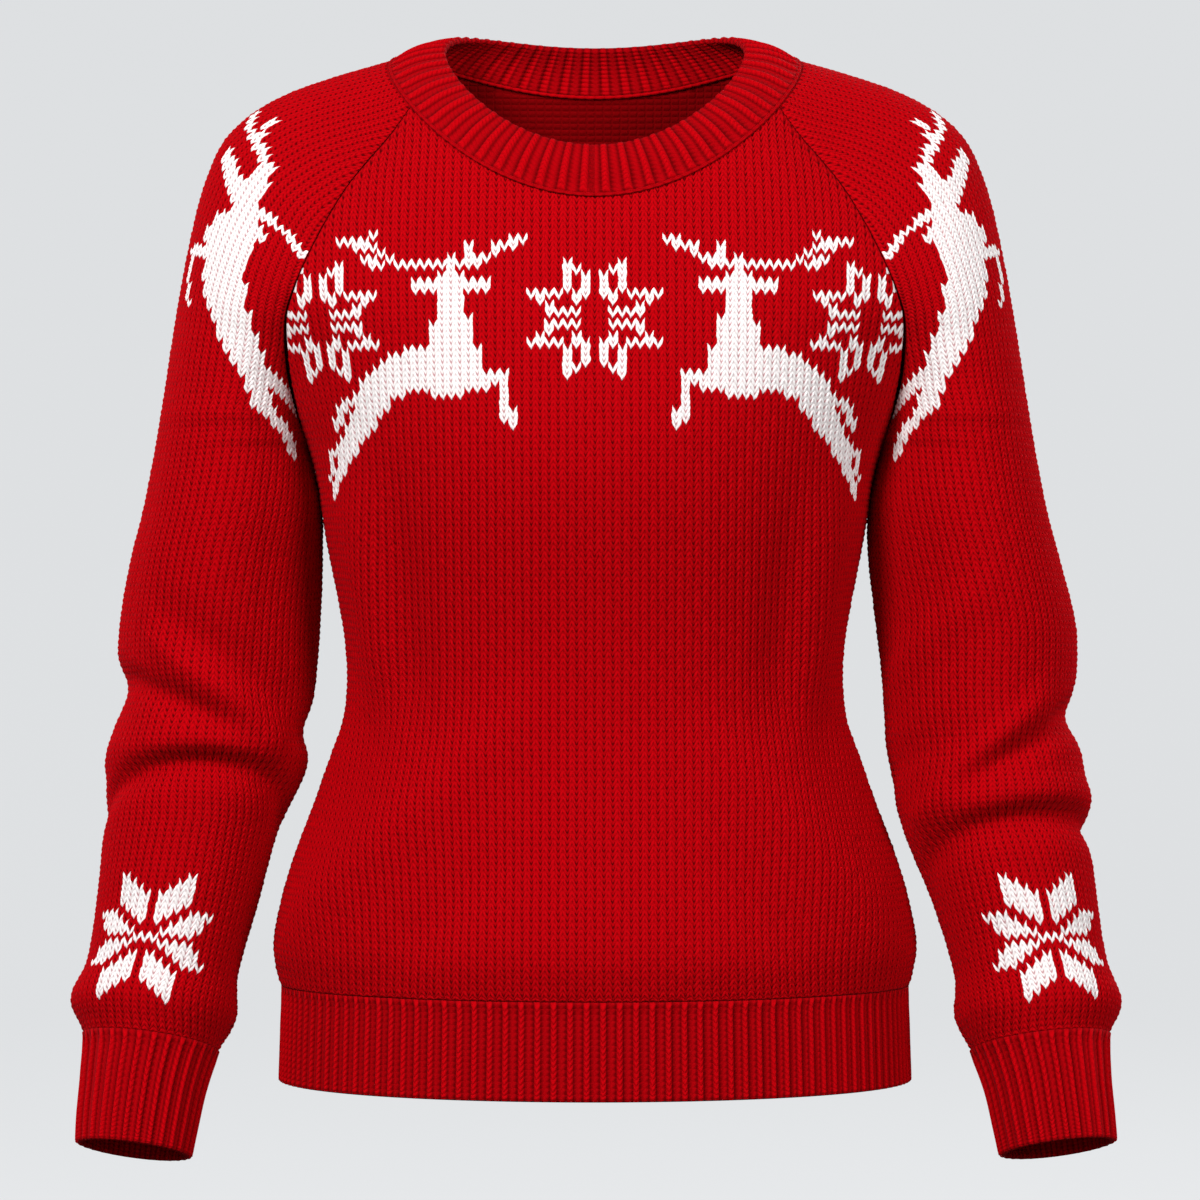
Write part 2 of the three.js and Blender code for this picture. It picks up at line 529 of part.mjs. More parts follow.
/** A sleeve from the neckline to the top of the cuff, open along its underarm seam. */
function sleeve(name, arm, folds, mirror) {
  const at = sleeveShape(arm, folds);
  const rows = [...steps(capRows, (t) => t * capRows), ...armRows.map((row) => capRows + row)];
  const turnAt = (around) => lerp(raglanFrontTurn, raglanBackTurn, around);
  const toNeckSeam = (around) => neckSeam(turnAt(around)).sub(at(0, around));
  const fitted = (row, around) => {
    const nearNeck = (1 - clamp(row / capBlendRows, 0, 1)) ** 2;
    const p = at(row, around).addScaledVector(toNeckSeam(around), nearNeck);
    p.y += seamGap * (around - 0.5);
    return p;
  };
  const outer = rows.map((row, i) => steps(sleeveColumns, (around) => {
    const p = fitted(row, around);
    if (i === 0) p.x += seamGap;
    if (i === rows.length - 1) p.z += seamGap / 2;
    return p;
  }));
  const inner = outer.map((points, i) => points.map((p, j) => {
    const around = j / sleeveColumns;
    const outward = i === 0 ? neckOutward(turnAt(around)) : sleeveOutward(fitted, rows[i], around);
    return p.clone().addScaledVector(outward, -wall);
  }));
  return wallMesh(name, mirror ? mirrored(outer) : outer, mirror ? mirrored(inner) : inner, false, redKnit);
}
sweater.add(sleeve('sleeve_left', armLeft, foldsLeft, true));
sweater.add(sleeve('sleeve_right', armRight, foldsRight, false));

/** Ribbing: every other column of the outer grid stands ribRise above the plain wall. */
function ribbed(name, grid, normal, ring, mirror, material) {
  const outer = moved(grid, normal, (j) => (j % pointsPerRib === 1 ? ribRise : 0));
  const plain = [grid[0], grid[grid.length - 1]];
  const plainNormal = [normal[0], normal[grid.length - 1]];
  const inner = moved(plain, plainNormal, () => -bandWall);
  const place = mirror ? mirrored : (points) => points;
  return wallMesh(name, place(outer), place(inner), ring, material);
}

/** The ribbed welt under one body panel. */
function hemRib(side) {
  const toward = side === 'front' ? -1 : 1;
  const inset = seamGap / 2;
  const grid = steps(hemRows, (down) => {
    const z = lerp(ribTopLevel - inset, hemLevel, down);
    const width = torsoAt.width(z) - ribRise;
    const depth = torsoAt[side](z) - ribRise;
    return steps(hemRibsPerPanel * pointsPerRib, (t) => {
      const turn = (t * 2 - 1) * quarter;
      return point(width * Math.sin(turn), toward * (depth * Math.cos(turn) + inset), z);
    });
  });
  return ribbed(`hem_rib_${side}`, grid, normals(grid, false, toward), false, false, redRib);
}
sweater.add(hemRib('front'), hemRib('back'));

/** A ribbed cuff, a closed ring that goes on from the sleeve's last section. */
function cuff(name, arm, folds, mirror) {
  const at = sleeveShape(arm, folds);
  const start = capRows + arm.length - cuffRowsInArm;
  const count = cuffRibs * pointsPerRib;
  const grid = steps(cuffRows, (down) => Array.from({ length: count }, (_, j) => {
    const p = at(start + down * cuffRowsInArm, j / count);
    if (down === 0) p.z -= seamGap / 2;
    return p;
  }));
  return ribbed(name, grid, normals(grid, true, -1), true, mirror, redRib);
}
sweater.add(cuff('cuff_left', armLeft, foldsLeft, true));
sweater.add(cuff('cuff_right', armRight, foldsRight, false));

/** The neckband: a ribbed ring from the neck seam up to the inner edge, a little crowned in the middle. */
function neckband() {
  const count = neckRibs * pointsPerRib;
  const turns = Array.from({ length: count }, (_, j) => (j / count) * Math.PI * 2);
  const rim = turns.map((turn) => neckOutward(turn));
  const grid = steps(neckBandRows, (up) => turns.map((turn, j) => {
    const seam = neckSeam(turn);
    const rise = neckEdge(turn).sub(seam);
    const start = seamGap / rise.length();
    return seam.addScaledVector(rise, lerp(start, 1, up))
      .addScaledVector(rim[j], bandCrown * Math.sin(up * Math.PI));
  }));
  return ribbed('neckband', grid, grid.map(() => rim), true, false, redRib);
}
sweater.add(neckband());

export default sweater;
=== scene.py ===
# %% [markdown]
# # A christmas sweater, stitch by stitch
#
# The object is a red raglan pullover with white deer and stars, seen as if an unseen wearer filled it out.
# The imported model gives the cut, the folds and the ribs. This script puts the knitting on it: every stitch
# is a real V of two raised legs, worked out with numpy, and its colour comes from charts as in a knitting
# pattern.
# Lengths are in millimetres until a mesh is made, where they become metres.

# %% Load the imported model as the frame
import math

import bpy
import numpy as np
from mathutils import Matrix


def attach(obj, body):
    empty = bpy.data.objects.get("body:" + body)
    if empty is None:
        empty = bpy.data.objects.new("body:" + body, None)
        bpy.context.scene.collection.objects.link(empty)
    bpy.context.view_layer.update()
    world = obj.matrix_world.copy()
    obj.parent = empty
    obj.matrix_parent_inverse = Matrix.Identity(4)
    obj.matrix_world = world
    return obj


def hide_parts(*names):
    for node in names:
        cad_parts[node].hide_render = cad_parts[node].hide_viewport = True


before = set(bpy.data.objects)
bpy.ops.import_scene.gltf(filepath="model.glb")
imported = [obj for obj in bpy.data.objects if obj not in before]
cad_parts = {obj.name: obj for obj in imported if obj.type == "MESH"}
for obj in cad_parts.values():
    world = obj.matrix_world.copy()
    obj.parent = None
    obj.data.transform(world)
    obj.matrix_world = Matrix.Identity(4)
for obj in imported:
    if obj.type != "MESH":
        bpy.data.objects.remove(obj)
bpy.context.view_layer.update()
print("nodes in the frame:", sorted(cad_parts))

# %% [markdown]
# ## The gauge
#
# A knitter describes a cloth by its gauge: how wide and how high one stitch is. In stocking stitch each
# stitch is a V, and the V is higher than its row because it grips into the one below. All patterns here are
# built on this lattice, so one change of the gauge changes the whole sweater.

# %% Gauge of the knitting
WALE = 5.4
COURSE = 3.72
V_DROP = 1.15
LEG_RISE = 1.0
SHEET = 2.6
SEAM_GAP = 0.3
METRES = 0.001
MIRROR = np.array([-1, 1, 1])

HALF_COURSE = COURSE / 2
POINTS_PER_WALE = 4
INNER_STEP = 4

print(f"one stitch is {WALE} mm wide and {COURSE} mm high")

# %% [markdown]
# ## Tables of the body
#
# A body like this could be sculpted or lofted by hand. It is written as tables instead, the same ones that
# the solids are made from: half width and depth of the trunk at some heights. A smooth curve through each
# column gives every height in between, and the cloth then lies exactly on the solid wall.

# %% Tables and smooth curves through them


def table(names, rows):
    """A table as a dictionary of columns."""
    return dict(zip(names.split(), np.array(rows, dtype=float).T))


def smooth(rows, key, name):
    """A column as a function of the key: cubic pieces, each slope that of the parabola through three rows."""
    at = rows[key]
    value = rows[name]
    step = np.diff(at)
    secant = np.diff(value) / step
    slope = np.concatenate([secant[:1], np.zeros(len(at) - 2), secant[-1:]])
    slope[1:-1] = (secant[:-1] * step[1:] + secant[1:] * step[:-1]) / (step[:-1] + step[1:])

    def curve(x):
        inside = np.clip(x, at[0], at[-1])
        i = np.clip(np.searchsorted(at, inside, side="right") - 1, 0, len(at) - 2)
        t = (inside - at[i]) / step[i]
        return (value[i] * (1 + 2 * t) * (1 - t) ** 2 + slope[i] * step[i] * t * (1 - t) ** 2
                + value[i + 1] * t * t * (3 - 2 * t) + slope[i + 1] * step[i] * t * t * (t - 1))

    return curve


def smooth_all(rows, key):
    """Every other column of a table as such a curve."""
    return {name: smooth(rows, key, name) for name in rows if name != key}


def smoothstep(x, start, full):
    """0 up to start, 1 from full, and an even S between them."""
    t = np.clip((x - start) / (full - start), 0, 1)
    return t * t * (3 - 2 * t)


def vectors(x, y, z):
    """Three arrays of numbers as one array of points."""
    return np.stack(np.broadcast_arrays(x, y, z), axis=-1)


def unit(v):
    """The same directions, each one long."""
    return v / np.maximum(np.linalg.norm(v, axis=-1, keepdims=True), 1e-9)


# %% The trunk
UNDERARM_LEVEL = -238
RIB_TOP_LEVEL = -573
HEM_LEVEL = -631
UNDERARM_HALF_DEPTH = 62

TORSO = table("level width front back", [
    [-631, 196, 121.5, 113],
    [-600, 195, 121, 112.5],
    [-573, 194.7, 121, 112],
    [-552, 198.4, 124.5, 114.5],
    [-521, 194, 121.5, 111.5],
    [-496, 186.8, 117, 107],
    [-459, 173, 111.5, 98],
    [-434, 164.3, 108.5, 92],
    [-409, 155.6, 107, 87.5],
    [-385, 153, 107.5, 86],
    [-360, 154.4, 110, 88],
    [-335, 158.5, 114, 92],
    [-310, 163.5, 119, 97],
    [-285, 168, 124, 102],
    [-258, 172, 127.5, 106],
    [-238, 178, 128, 108],
])
FRONT_YOKE = table("level width depth", [
    [-238, 178, 128],
    [-220, 186.5, 126.5],
    [-198, 197.5, 123],
    [-178, 210, 119],
    [-160, 226, 114],
    [-145, 234, 108.5],
    [-133, 235, 104],
    [-120, 230, 99],
    [-106, 220, 94],
    [-93, 207, 88.5],
    [-80, 192, 84],
    [-66, 172, 78],
    [-47, 153, 66.5],
    [-28, 145, 52],
])
BACK_YOKE = table("level width depth", [
    [-238, 178, 108],
    [-222, 186, 108.8],
    [-201, 198, 110],
    [-181, 213, 110],
    [-163, 227, 109.8],
    [-145, 237, 108.5],
    [-127, 240, 106.5],
    [-109, 236, 103.5],
    [-91, 228, 99.5],
    [-74, 217, 95],
    [-57, 205, 90],
    [-41, 193, 84.5],
    [-26, 182, 78],
    [-12, 172, 71.5],
    [4, 162, 61.5],
])

# Soft ridges and troughs: a bell curve of the distance to each line
DRAPE = {
    "front": table("from_x from_z to_x to_z width lift", [
        [-150, -225, -124, -430, 14, 7],
        [-122, -245, -108, -430, 13, -4.5],
        [-20, -380, -150, -500, 20, 4.5],
        [-80, -435, -235, -575, 19, 7.5],
        [-98, -350, -185, -500, 16, -4.5],
        [-40, -470, -150, -580, 18, -4],
        [148, -225, 126, -440, 14, 6],
        [120, -250, 108, -430, 13, -4],
        [50, -400, 215, -575, 20, 5.5],
        [98, -350, 185, -500, 16, -3.5],
        [60, -480, 160, -585, 18, -3],
    ]),
    "back": table("from_x from_z to_x to_z width lift", [
        [-48, -339, -152, -391, 15, 5],
        [-37, -366, -148, -418, 13, -4.6],
        [-15, -394, -145, -460, 17, 4.5],
        [42, -344, 155, -398, 15, 4.8],
        [25, -372, 153, -426, 13, -4.4],
        [10, -403, 140, -479, 17, 4.7],
        [-91, -132, -122, -288, 18, 3.6],
        [95, -137, 119, -293, 18, 3.6],
    ]),
}
DRAPE_FADE = 1.5
DRAPE_START = 0.12
DRAPE_FULL = 0.5

TOWARD = {"front": -1, "back": 1}
torso_at = smooth_all(TORSO, "level")
yoke_at = {"front": smooth_all(FRONT_YOKE, "level"), "back": smooth_all(BACK_YOKE, "level")}


def ellipse_at(side, z):
    """Half width and depth of the trunk's ellipse on one side at a height."""
    below = z < UNDERARM_LEVEL
    width = np.where(below, torso_at["width"](z), yoke_at[side]["width"](z))
    depth = np.where(below, torso_at[side](z), yoke_at[side]["depth"](z))
    return width, depth


def body_depth(side, x, z):
    """How far the trunk stands out from its middle plane: depth times the root of 1 - (x / width) squared."""
    width, depth = ellipse_at(side, z)
    return depth * np.sqrt(np.maximum(1 - (x / width) ** 2, 0))


def body_outward(side, x, z):
    """Direction square to the trunk, from the slopes of its ellipse across, in depth and in height."""
    width, depth = ellipse_at(side, z)
    y = body_depth(side, x, z)
    probe = 4

    def rim(level):
        w, d = ellipse_at(side, level)
        return (x / w) ** 2 + (y / d) ** 2

    half_slope = (rim(z + probe) - rim(z - probe)) / (4 * probe)
    return unit(vectors(x / width ** 2, TOWARD[side] * y / depth ** 2, half_slope))


def drape_lift(side, x, z):
    """Sum of the soft ridges at a place, fading out towards their ends and the side seams."""
    lines = DRAPE[side]
    width, depth = ellipse_at(side, z)
    inside = smoothstep(body_depth(side, x, z) / depth, DRAPE_START, DRAPE_FULL)
    total = np.zeros(np.broadcast(x, z).shape)
    for from_x, from_z, to_x, to_z, wide, lift in zip(*lines.values()):
        run_x, run_z = to_x - from_x, to_z - from_z
        t = np.clip(((x - from_x) * run_x + (z - from_z) * run_z) / (run_x ** 2 + run_z ** 2), 0, 1)
        away = np.hypot(x - from_x - t * run_x, z - from_z - t * run_z)
        fade = (1 - (2 * t - 1) ** 2) ** DRAPE_FADE
        total += fade * lift * np.exp(-((away / wide) ** 2))
    return inside * total


# %% The neckline
NECK_SEAM = {"half_width": 127, "y": (5, -80, -13), "z": (-3, -39, -50)}
NECK_EDGE = {"half_width": 94, "y": (8, -71, -17), "z": (7, -38.2, -30.5)}
RAGLAN_FRONT_TURN = math.radians(62.6)
RAGLAN_BACK_TURN = math.radians(127)


def neck_place(curve, turn):
    """A neck curve: x by the sine of the turn, y and z by its cosine and the cosine's square."""
    forward = np.cos(turn)
    y = curve["y"][0] + curve["y"][1] * forward + curve["y"][2] * forward ** 2
    z = curve["z"][0] + curve["z"][1] * forward + curve["z"][2] * forward ** 2
    return vectors(curve["half_width"] * np.sin(turn), y, z)


def neck_outward(turn):
    """Direction square to the neckband at its seam: the seam's direction crossed with the band's rise."""
    probe = 0.01
    along = neck_place(NECK_SEAM, turn + probe) - neck_place(NECK_SEAM, turn - probe)
    return unit(np.cross(along, neck_place(NECK_EDGE, turn) - neck_place(NECK_SEAM, turn)))


print("neck opening at its seam:", 2 * NECK_SEAM["half_width"], "mm wide")

# %% [markdown]
# ## The sleeves' form
#
# Each sleeve is a row of half-round sections that ride on the two raglan seams and close to a full ring below
# the underarm. The elbow creases are a table too. A crease is a bell curve across and a fading cosine along,
# which is simpler to steer than a cloth simulation and gives the same folds at every run.

# %% Tables of the sleeves
CAP_ROWS = 10
CAP_BLEND_ROWS = 3
SEAM_HOLD = 7
LEAST_WRAP_COSINE = 0.3
FOLD_FADE = 0.7

CAP = table("row top_x top_y top_z front_x front_z back_x back_z wrap", [
    [0, 127, 5, -3, 112.7, -31.5, 101.6, 2.4, -32],
    [1, 160, 4, -11, 126, -51, 117, -19, -32],
    [2, 190, 3, -21, 139, -67, 131, -40, -30],
    [3, 213, 2, -34, 151.5, -84, 145, -64, -26],
    [4, 231, 1, -53, 163, -104, 158, -91, -19],
    [5, 243, 0, -83, 174, -126.5, 170, -119, -8],
    [6, 250.5, 0, -115, 182, -146, 180, -149, 8],
    [7, 257, 0, -150, 187.5, -165, 185.5, -175, 26],
    [8, 262.5, 0, -184, 187.5, -192, 186, -197, 48],
    [9, 267.5, 0, -216, 183.5, -217, 183, -218.5, 67],
    [10, 272, 0, -243, 178, -238, 178, -238, 90],
])
ARM_COLUMNS = "row outer_x outer_z inner_x inner_z middle_y depth tilt"
UNDERARM_ROW = [10, 272, -243, 178, -238, 0, UNDERARM_HALF_DEPTH, 0]
ARM_LEFT = table(ARM_COLUMNS, [
    UNDERARM_ROW,
    [11, 279.5, -280, 170.3, -275, 1, 62, 0],
    [12, 288, -313, 169.6, -306, 3, 61.5, 0],
    [13, 294.5, -352, 171, -346, 5, 61, 0],
    [14, 297, -394, 174.5, -390, 5, 60, 2],
    [15, 301, -436, 181, -440, 2, 58.5, 6],
    [16, 303, -474, 197, -478, -4, 55, 10],
    [17, 306, -516, 208.5, -521, -12, 52, 13],
    [18, 311, -556, 220, -564, -22, 50, 15],
    [19, 320.5, -580, 220.5, -590, -29, 51.5, 15.5],
    [20, 312, -600.5, 231, -610.5, -36, 42, 16],
    [21, 312, -624, 238.5, -633, -43, 39.5, 16],
    [22, 313.5, -648, 243.3, -656, -49.5, 37.5, 16],
    [23, 313.8, -664, 246.3, -672, -54, 36.5, 16],
])
ARM_RIGHT = table(ARM_COLUMNS, [
    UNDERARM_ROW,
    [11, 279.5, -280, 170.3, -275, 1, 62, 0],
    [12, 288.5, -313, 170, -306, 3, 61.5, 0],
    [13, 298, -352, 174.5, -346, 5, 61, 0],
    [14, 298.5, -394, 179.5, -390, 5, 60, 2],
    [15, 302, -436, 182.5, -440, 2, 58.5, 6],
    [16, 305, -474, 192, -478, -4, 55, 10],
    [17, 308.5, -516, 209, -521, -12, 52, 13],
    [18, 313.5, -556, 221.5, -564, -22, 50, 15],
    [19, 322, -582, 221.3, -590, -29, 51.5, 15.5],
    [20, 314, -601, 230.5, -610, -36, 42, 16],
    [21, 313, -624, 239, -633, -43, 39.5, 16],
    [22, 314.5, -648, 244, -656, -49.5, 37.5, 16],
    [23, 315.3, -663, 247, -671, -54, 36.5, 16],
])

# turn 0 is the front of a sleeve, 90 its outer line; the other columns are as in the solids
FOLD_COLUMNS = "turn reach level rise bow above below lift"
FOLDS_LEFT = table(FOLD_COLUMNS, [
    [0, 100, -432, 0, 44, 6, 12, -9],
    [0, 105, -420, 0, 24, 12, 9, 4.5],
    [30, 68, -391, 22, 14, 9, 9, -6.5],
    [90, 50, -394, 0, 0, 13, 16, -7],
    [-5, 48, -388, 34, 0, 8, 12, 5],
    [-12, 50, -371, 36, 0, 16, 9, -4],
    [-90, 40, -417, 0, 6, 14, 10, -5],
    [150, 60, -405, -12, 6, 10, 12, -5],
    [195, 60, -447, -14, 10, 9, 11, -6],
    [190, 60, -428, -12, 8, 10, 8, 3.5],
    [10, 70, -520, 5, 6, 12, 12, -1.5],
    [14, 42, -310, 0, 0, 60, 70, 4],
    [-46, 44, -330, 0, 0, 60, 70, -3],
])
FOLDS_RIGHT = table(FOLD_COLUMNS, [
    [20, 110, -464, 6, 40, 6, 13, -9],
    [15, 110, -452, 8, 26, 11, 9, 4.5],
    [32, 62, -418, 28, 3, 9, 9, -6],
    [90, 50, -409, 0, 0, 13, 13, -8],
    [-12, 55, -431, 44, 0, 9, 11, 5],
    [-40, 55, -362, 40, 0, 14, 14, 3],
    [-60, 50, -432, 20, 0, 14, 12, -4],
    [155, 60, -420, -12, 6, 10, 12, -5],
    [200, 60, -470, -12, 10, 9, 11, -6],
    [195, 60, -452, -12, 8, 10, 8, 3.5],
    [10, 70, -535, -5, 6, 12, 12, -1.5],
    [18, 42, -315, 0, 0, 60, 70, 3.5],
    [-44, 44, -330, 0, 0, 60, 70, -3],
])
SLEEVE_END_ROW = 20
CUFF_END_ROW = 23
cap_at = smooth_all(CAP, "row")

# %% One sleeve as a function of its row and the turn round it


def raglan_point(side, row):
    """End of a sleeve section on a raglan seam, on the trunk's own surface."""
    x = cap_at[f"{side}_x"](row)
    z = cap_at[f"{side}_z"](row)
    y = np.where(row >= CAP_ROWS, 0, TOWARD[side] * body_depth(side, x, z))
    return vectors(x, y, z)


def fold_lift(folds, turn, z):
    """Sum of the creases: each a bell curve above and below its line, fading by a cosine along it."""
    total = np.zeros(np.broadcast(turn, z).shape)
    for at_turn, reach, level, rise, bow, above, below, lift in zip(*folds.values()):
        t = ((turn - at_turn + 180) % 360 - 180) / reach
        line = level + rise * t - bow * t * t
        width = np.where(z > line, above, below)
        fade = np.cos(np.clip(t, -1, 1) * math.pi / 2) ** FOLD_FADE
        total += np.where(np.abs(t) < 1, lift * fade * np.exp(-(((z - line) / width) ** 2)), 0)
    return total


def sleeve_shape(arm, folds):
    """The sleeve as a function of row (0 at the neck, 10 at the underarm) and around (0 front, 1 back)."""
    arm_at = smooth_all(arm, "row")

    def section(row):
        in_arm = (row > CAP_ROWS)[..., None]
        middle_y = arm_at["middle_y"](row)
        outer = np.where(in_arm, vectors(arm_at["outer_x"](row), middle_y, arm_at["outer_z"](row)),
                         vectors(cap_at["top_x"](row), cap_at["top_y"](row), cap_at["top_z"](row)))
        inner = vectors(arm_at["inner_x"](row), middle_y, arm_at["inner_z"](row))
        front = np.where(in_arm, inner, raglan_point("front", row))
        back = np.where(in_arm, inner, raglan_point("back", row))
        wrap = np.where(row > CAP_ROWS, math.pi / 2, np.radians(cap_at["wrap"](row)))
        half_gap = np.linalg.norm(front - back, axis=-1) / 2
        near_arm = smoothstep(row, CAP_ROWS - CAP_BLEND_ROWS, CAP_ROWS)
        cap_depth = half_gap / np.maximum(np.cos(wrap), LEAST_WRAP_COSINE)
        cap_depth = cap_depth + (UNDERARM_HALF_DEPTH - cap_depth) * near_arm
        depth = np.where(row > CAP_ROWS, arm_at["depth"](row), cap_depth)
        tilt = np.where(row > CAP_ROWS, np.radians(arm_at["tilt"](row)), 0)
        hold = 1 + SEAM_HOLD * near_arm
        return outer, front, back, wrap, depth, tilt, hold

    def at(row, around, creased=True):
        row, around = np.broadcast_arrays(np.asarray(row, dtype=float), np.asarray(around, dtype=float))
        outer, front, back, wrap, depth, tilt, hold = section(row)
        middle = (front + back) / 2
        half = np.linalg.norm(outer - middle, axis=-1) / (1 + np.sin(wrap))
        up = unit(outer - middle)
        centre = outer - up * half[..., None]
        forward = vectors(0, -np.cos(tilt), np.sin(tilt))

        def place(angle):
            return (centre + up * (half * np.sin(angle))[..., None]
                    + forward * (depth * np.cos(angle))[..., None])

        angle = -wrap + around * (math.pi + 2 * wrap)
        spot = (place(angle) + (front - place(-wrap)) * ((1 - around) ** hold)[..., None]
                + (back - place(math.pi + wrap)) * (around ** hold)[..., None])
        outward = unit(up * (depth * np.sin(angle))[..., None] + forward * (half * np.cos(angle))[..., None])
        if creased:
            spot = spot + outward * fold_lift(folds, np.degrees(angle), spot[..., 2])[..., None]
        return spot, outward

    return at


def fit_to_neck(at, row, around, creased=True):
    """The sleeve's surface, led onto the neck seam over its first rows."""
    spot, outward = at(row, around, creased)
    turn = RAGLAN_FRONT_TURN + (RAGLAN_BACK_TURN - RAGLAN_FRONT_TURN) * around
    near_neck = (1 - np.clip(row / CAP_BLEND_ROWS, 0, 1)) ** 2
    start, _ = at(np.zeros_like(row), around, False)
    spot = spot + (neck_place(NECK_SEAM, turn) - start) * near_neck[..., None]
    spot[..., 1] += SEAM_GAP * (around - 0.5)
    return spot, outward


sleeve_left_at = sleeve_shape(ARM_LEFT, FOLDS_LEFT)
sleeve_right_at = sleeve_shape(ARM_RIGHT, FOLDS_RIGHT)
print("outer line of the left sleeve at the cuff:", sleeve_left_at(20.0, 0.5)[0].round(1), "mm, mirrored")

# %% [markdown]
# ## Laying a lattice of stitches on a surface
#
# Knitted columns, the wales, keep their width, so they are spaced by length along the cloth and not by angle.
# Each row measures its own section, and asks which place lies 5.4 mm further on. Where the piece ends at a
# seam, the lattice is held at the seam, and the faces that shrink to nothing there are dropped later.

# %% Lattices of the panels and sleeves
YOKE_GUESSES = 24
STRAIGHT_ROW = 16
FRONT_LINE = 0.27


def lattice_size(half_width, length):
    """Points across (a multiple of 8, and one) and along (a multiple of 4, and one) a piece."""
    across = 2 * POINTS_PER_WALE * math.ceil(half_width / WALE)
    along = INNER_STEP * math.ceil((length / HALF_COURSE + 2 * V_DROP) / INNER_STEP)
    return across + 1, along + 1


def along_section(length_table, parameter, wanted):
    """For each row, the parameter at each wanted length along that row's section."""
    return np.stack([np.interp(wanted, lengths, parameter) for lengths in length_table])


def yoke_place(side, x, level):
    """How far up the yoke a place is, 0 to 1, and where between the raglan edges, -1 to 1.

    The yoke's rows bend down in the middle: a row's dip grows with the square of its share. So the row
    is found step by step, each time from the dip that the last guess gives.
    """
    end = neck_place(NECK_SEAM, RAGLAN_FRONT_TURN if side == "front" else RAGLAN_BACK_TURN)
    rows = np.linspace(CAP_ROWS, 0, 201)
    edge = raglan_point(side, rows)
    a, b, c = NECK_SEAM["z"]
    share = np.clip((level - UNDERARM_LEVEL) / (end[2] - UNDERARM_LEVEL), 0, 1)
    for _ in range(YOKE_GUESSES):
        row = (1 - share) * CAP_ROWS
        across = np.clip(x / np.interp(-row, -rows, edge[:, 0]), -1, 1)
        cosine = np.sqrt(1 - (end[0] * across / NECK_SEAM["half_width"]) ** 2) * -TOWARD[side]
        dip = share ** 2 * (end[2] - a - b * cosine - c * cosine ** 2)
        share = 1 - np.interp(level + dip, edge[:, 2], rows) / CAP_ROWS
    return share, across


def panel_lattice(side):
    """Body panel: rows at even heights from the rib up, columns at even lengths from the centre line."""
    bottom = RIB_TOP_LEVEL + SEAM_GAP / 2
    neck_turn = RAGLAN_FRONT_TURN if side == "front" else RAGLAN_BACK_TURN
    top = float(neck_place(NECK_SEAM, neck_turn)[2])
    fine_rows = np.linspace(0, CAP_ROWS, 201)
    raglan = raglan_point(side, fine_rows)

    quarter = np.linspace(0, math.pi / 2, 241)
    levels = np.linspace(bottom, top, 400)
    width, depth = ellipse_at(side, levels)
    widest = np.max(np.pi / 2 * np.sqrt((width ** 2 + depth ** 2) / 2)[levels < UNDERARM_LEVEL])
    across, along = lattice_size(widest, top - bottom)

    z = np.minimum(bottom + np.arange(along) * HALF_COURSE, top)
    s = (np.arange(across) - across // 2) * WALE / POINTS_PER_WALE
    width, depth = ellipse_at(side, z)
    speed = np.hypot(width[:, None] * np.cos(quarter), depth[:, None] * np.sin(quarter))
    middle_speed = (speed[:, 1:] + speed[:, :-1]) / 2 * np.diff(quarter)
    lengths = np.concatenate([np.zeros((along, 1)), np.cumsum(middle_speed, axis=1)], axis=1)
    seam_x = np.interp(z, raglan[::-1, 2], raglan[::-1, 0] - SEAM_GAP)
    seam_angle = np.where(z < UNDERARM_LEVEL, math.pi / 2, np.arcsin(np.clip(seam_x / width, 0, 1)))
    limit = np.array([np.interp(a, quarter, row) for a, row in zip(seam_angle, lengths)])
    held = np.minimum(np.abs(s)[None, :], limit[:, None])
    angle = np.stack([np.interp(h, row, quarter) for h, row in zip(held, lengths)])
    x = np.sign(s) * width[:, None] * np.sin(angle)

    def neck_above(across_neck):
        """Place on the neck seam at an x, on this side of the body."""
        aside = np.arcsin(np.clip(across_neck / NECK_SEAM["half_width"], -1, 1))
        return neck_place(NECK_SEAM, aside if side == "front" else math.pi - aside)

    neck_z = neck_above(x)[..., 2]
    level = np.minimum(np.broadcast_to(z[:, None], x.shape), neck_z)
    share, across_yoke = yoke_place(side, x, level)
    seam = neck_above(across_yoke * neck_place(NECK_SEAM, neck_turn)[0])
    y = TOWARD[side] * (body_depth(side, x, level) + SEAM_GAP / 2)
    y += share ** 4 * (seam[..., 1] - TOWARD[side] * body_depth(side, seam[..., 0], seam[..., 2]))
    outward = body_outward(side, x, level)
    spot = vectors(x, y, level) + outward * drape_lift(side, x, level)[..., None]
    to_seam = limit[:, None] - np.abs(s)[None, :]
    to_neck = neck_z - z[:, None]
    held_row = np.minimum(np.arange(along)[:, None], np.argmax(to_neck <= 0, axis=0)[None, :])
    column = np.broadcast_to(np.arange(across), held_row.shape)
    return {"spot": spot[held_row, column], "outward": outward[held_row, column],
            "to_seam": to_seam[held_row, column], "to_top": to_neck, "raglan": z > UNDERARM_LEVEL}


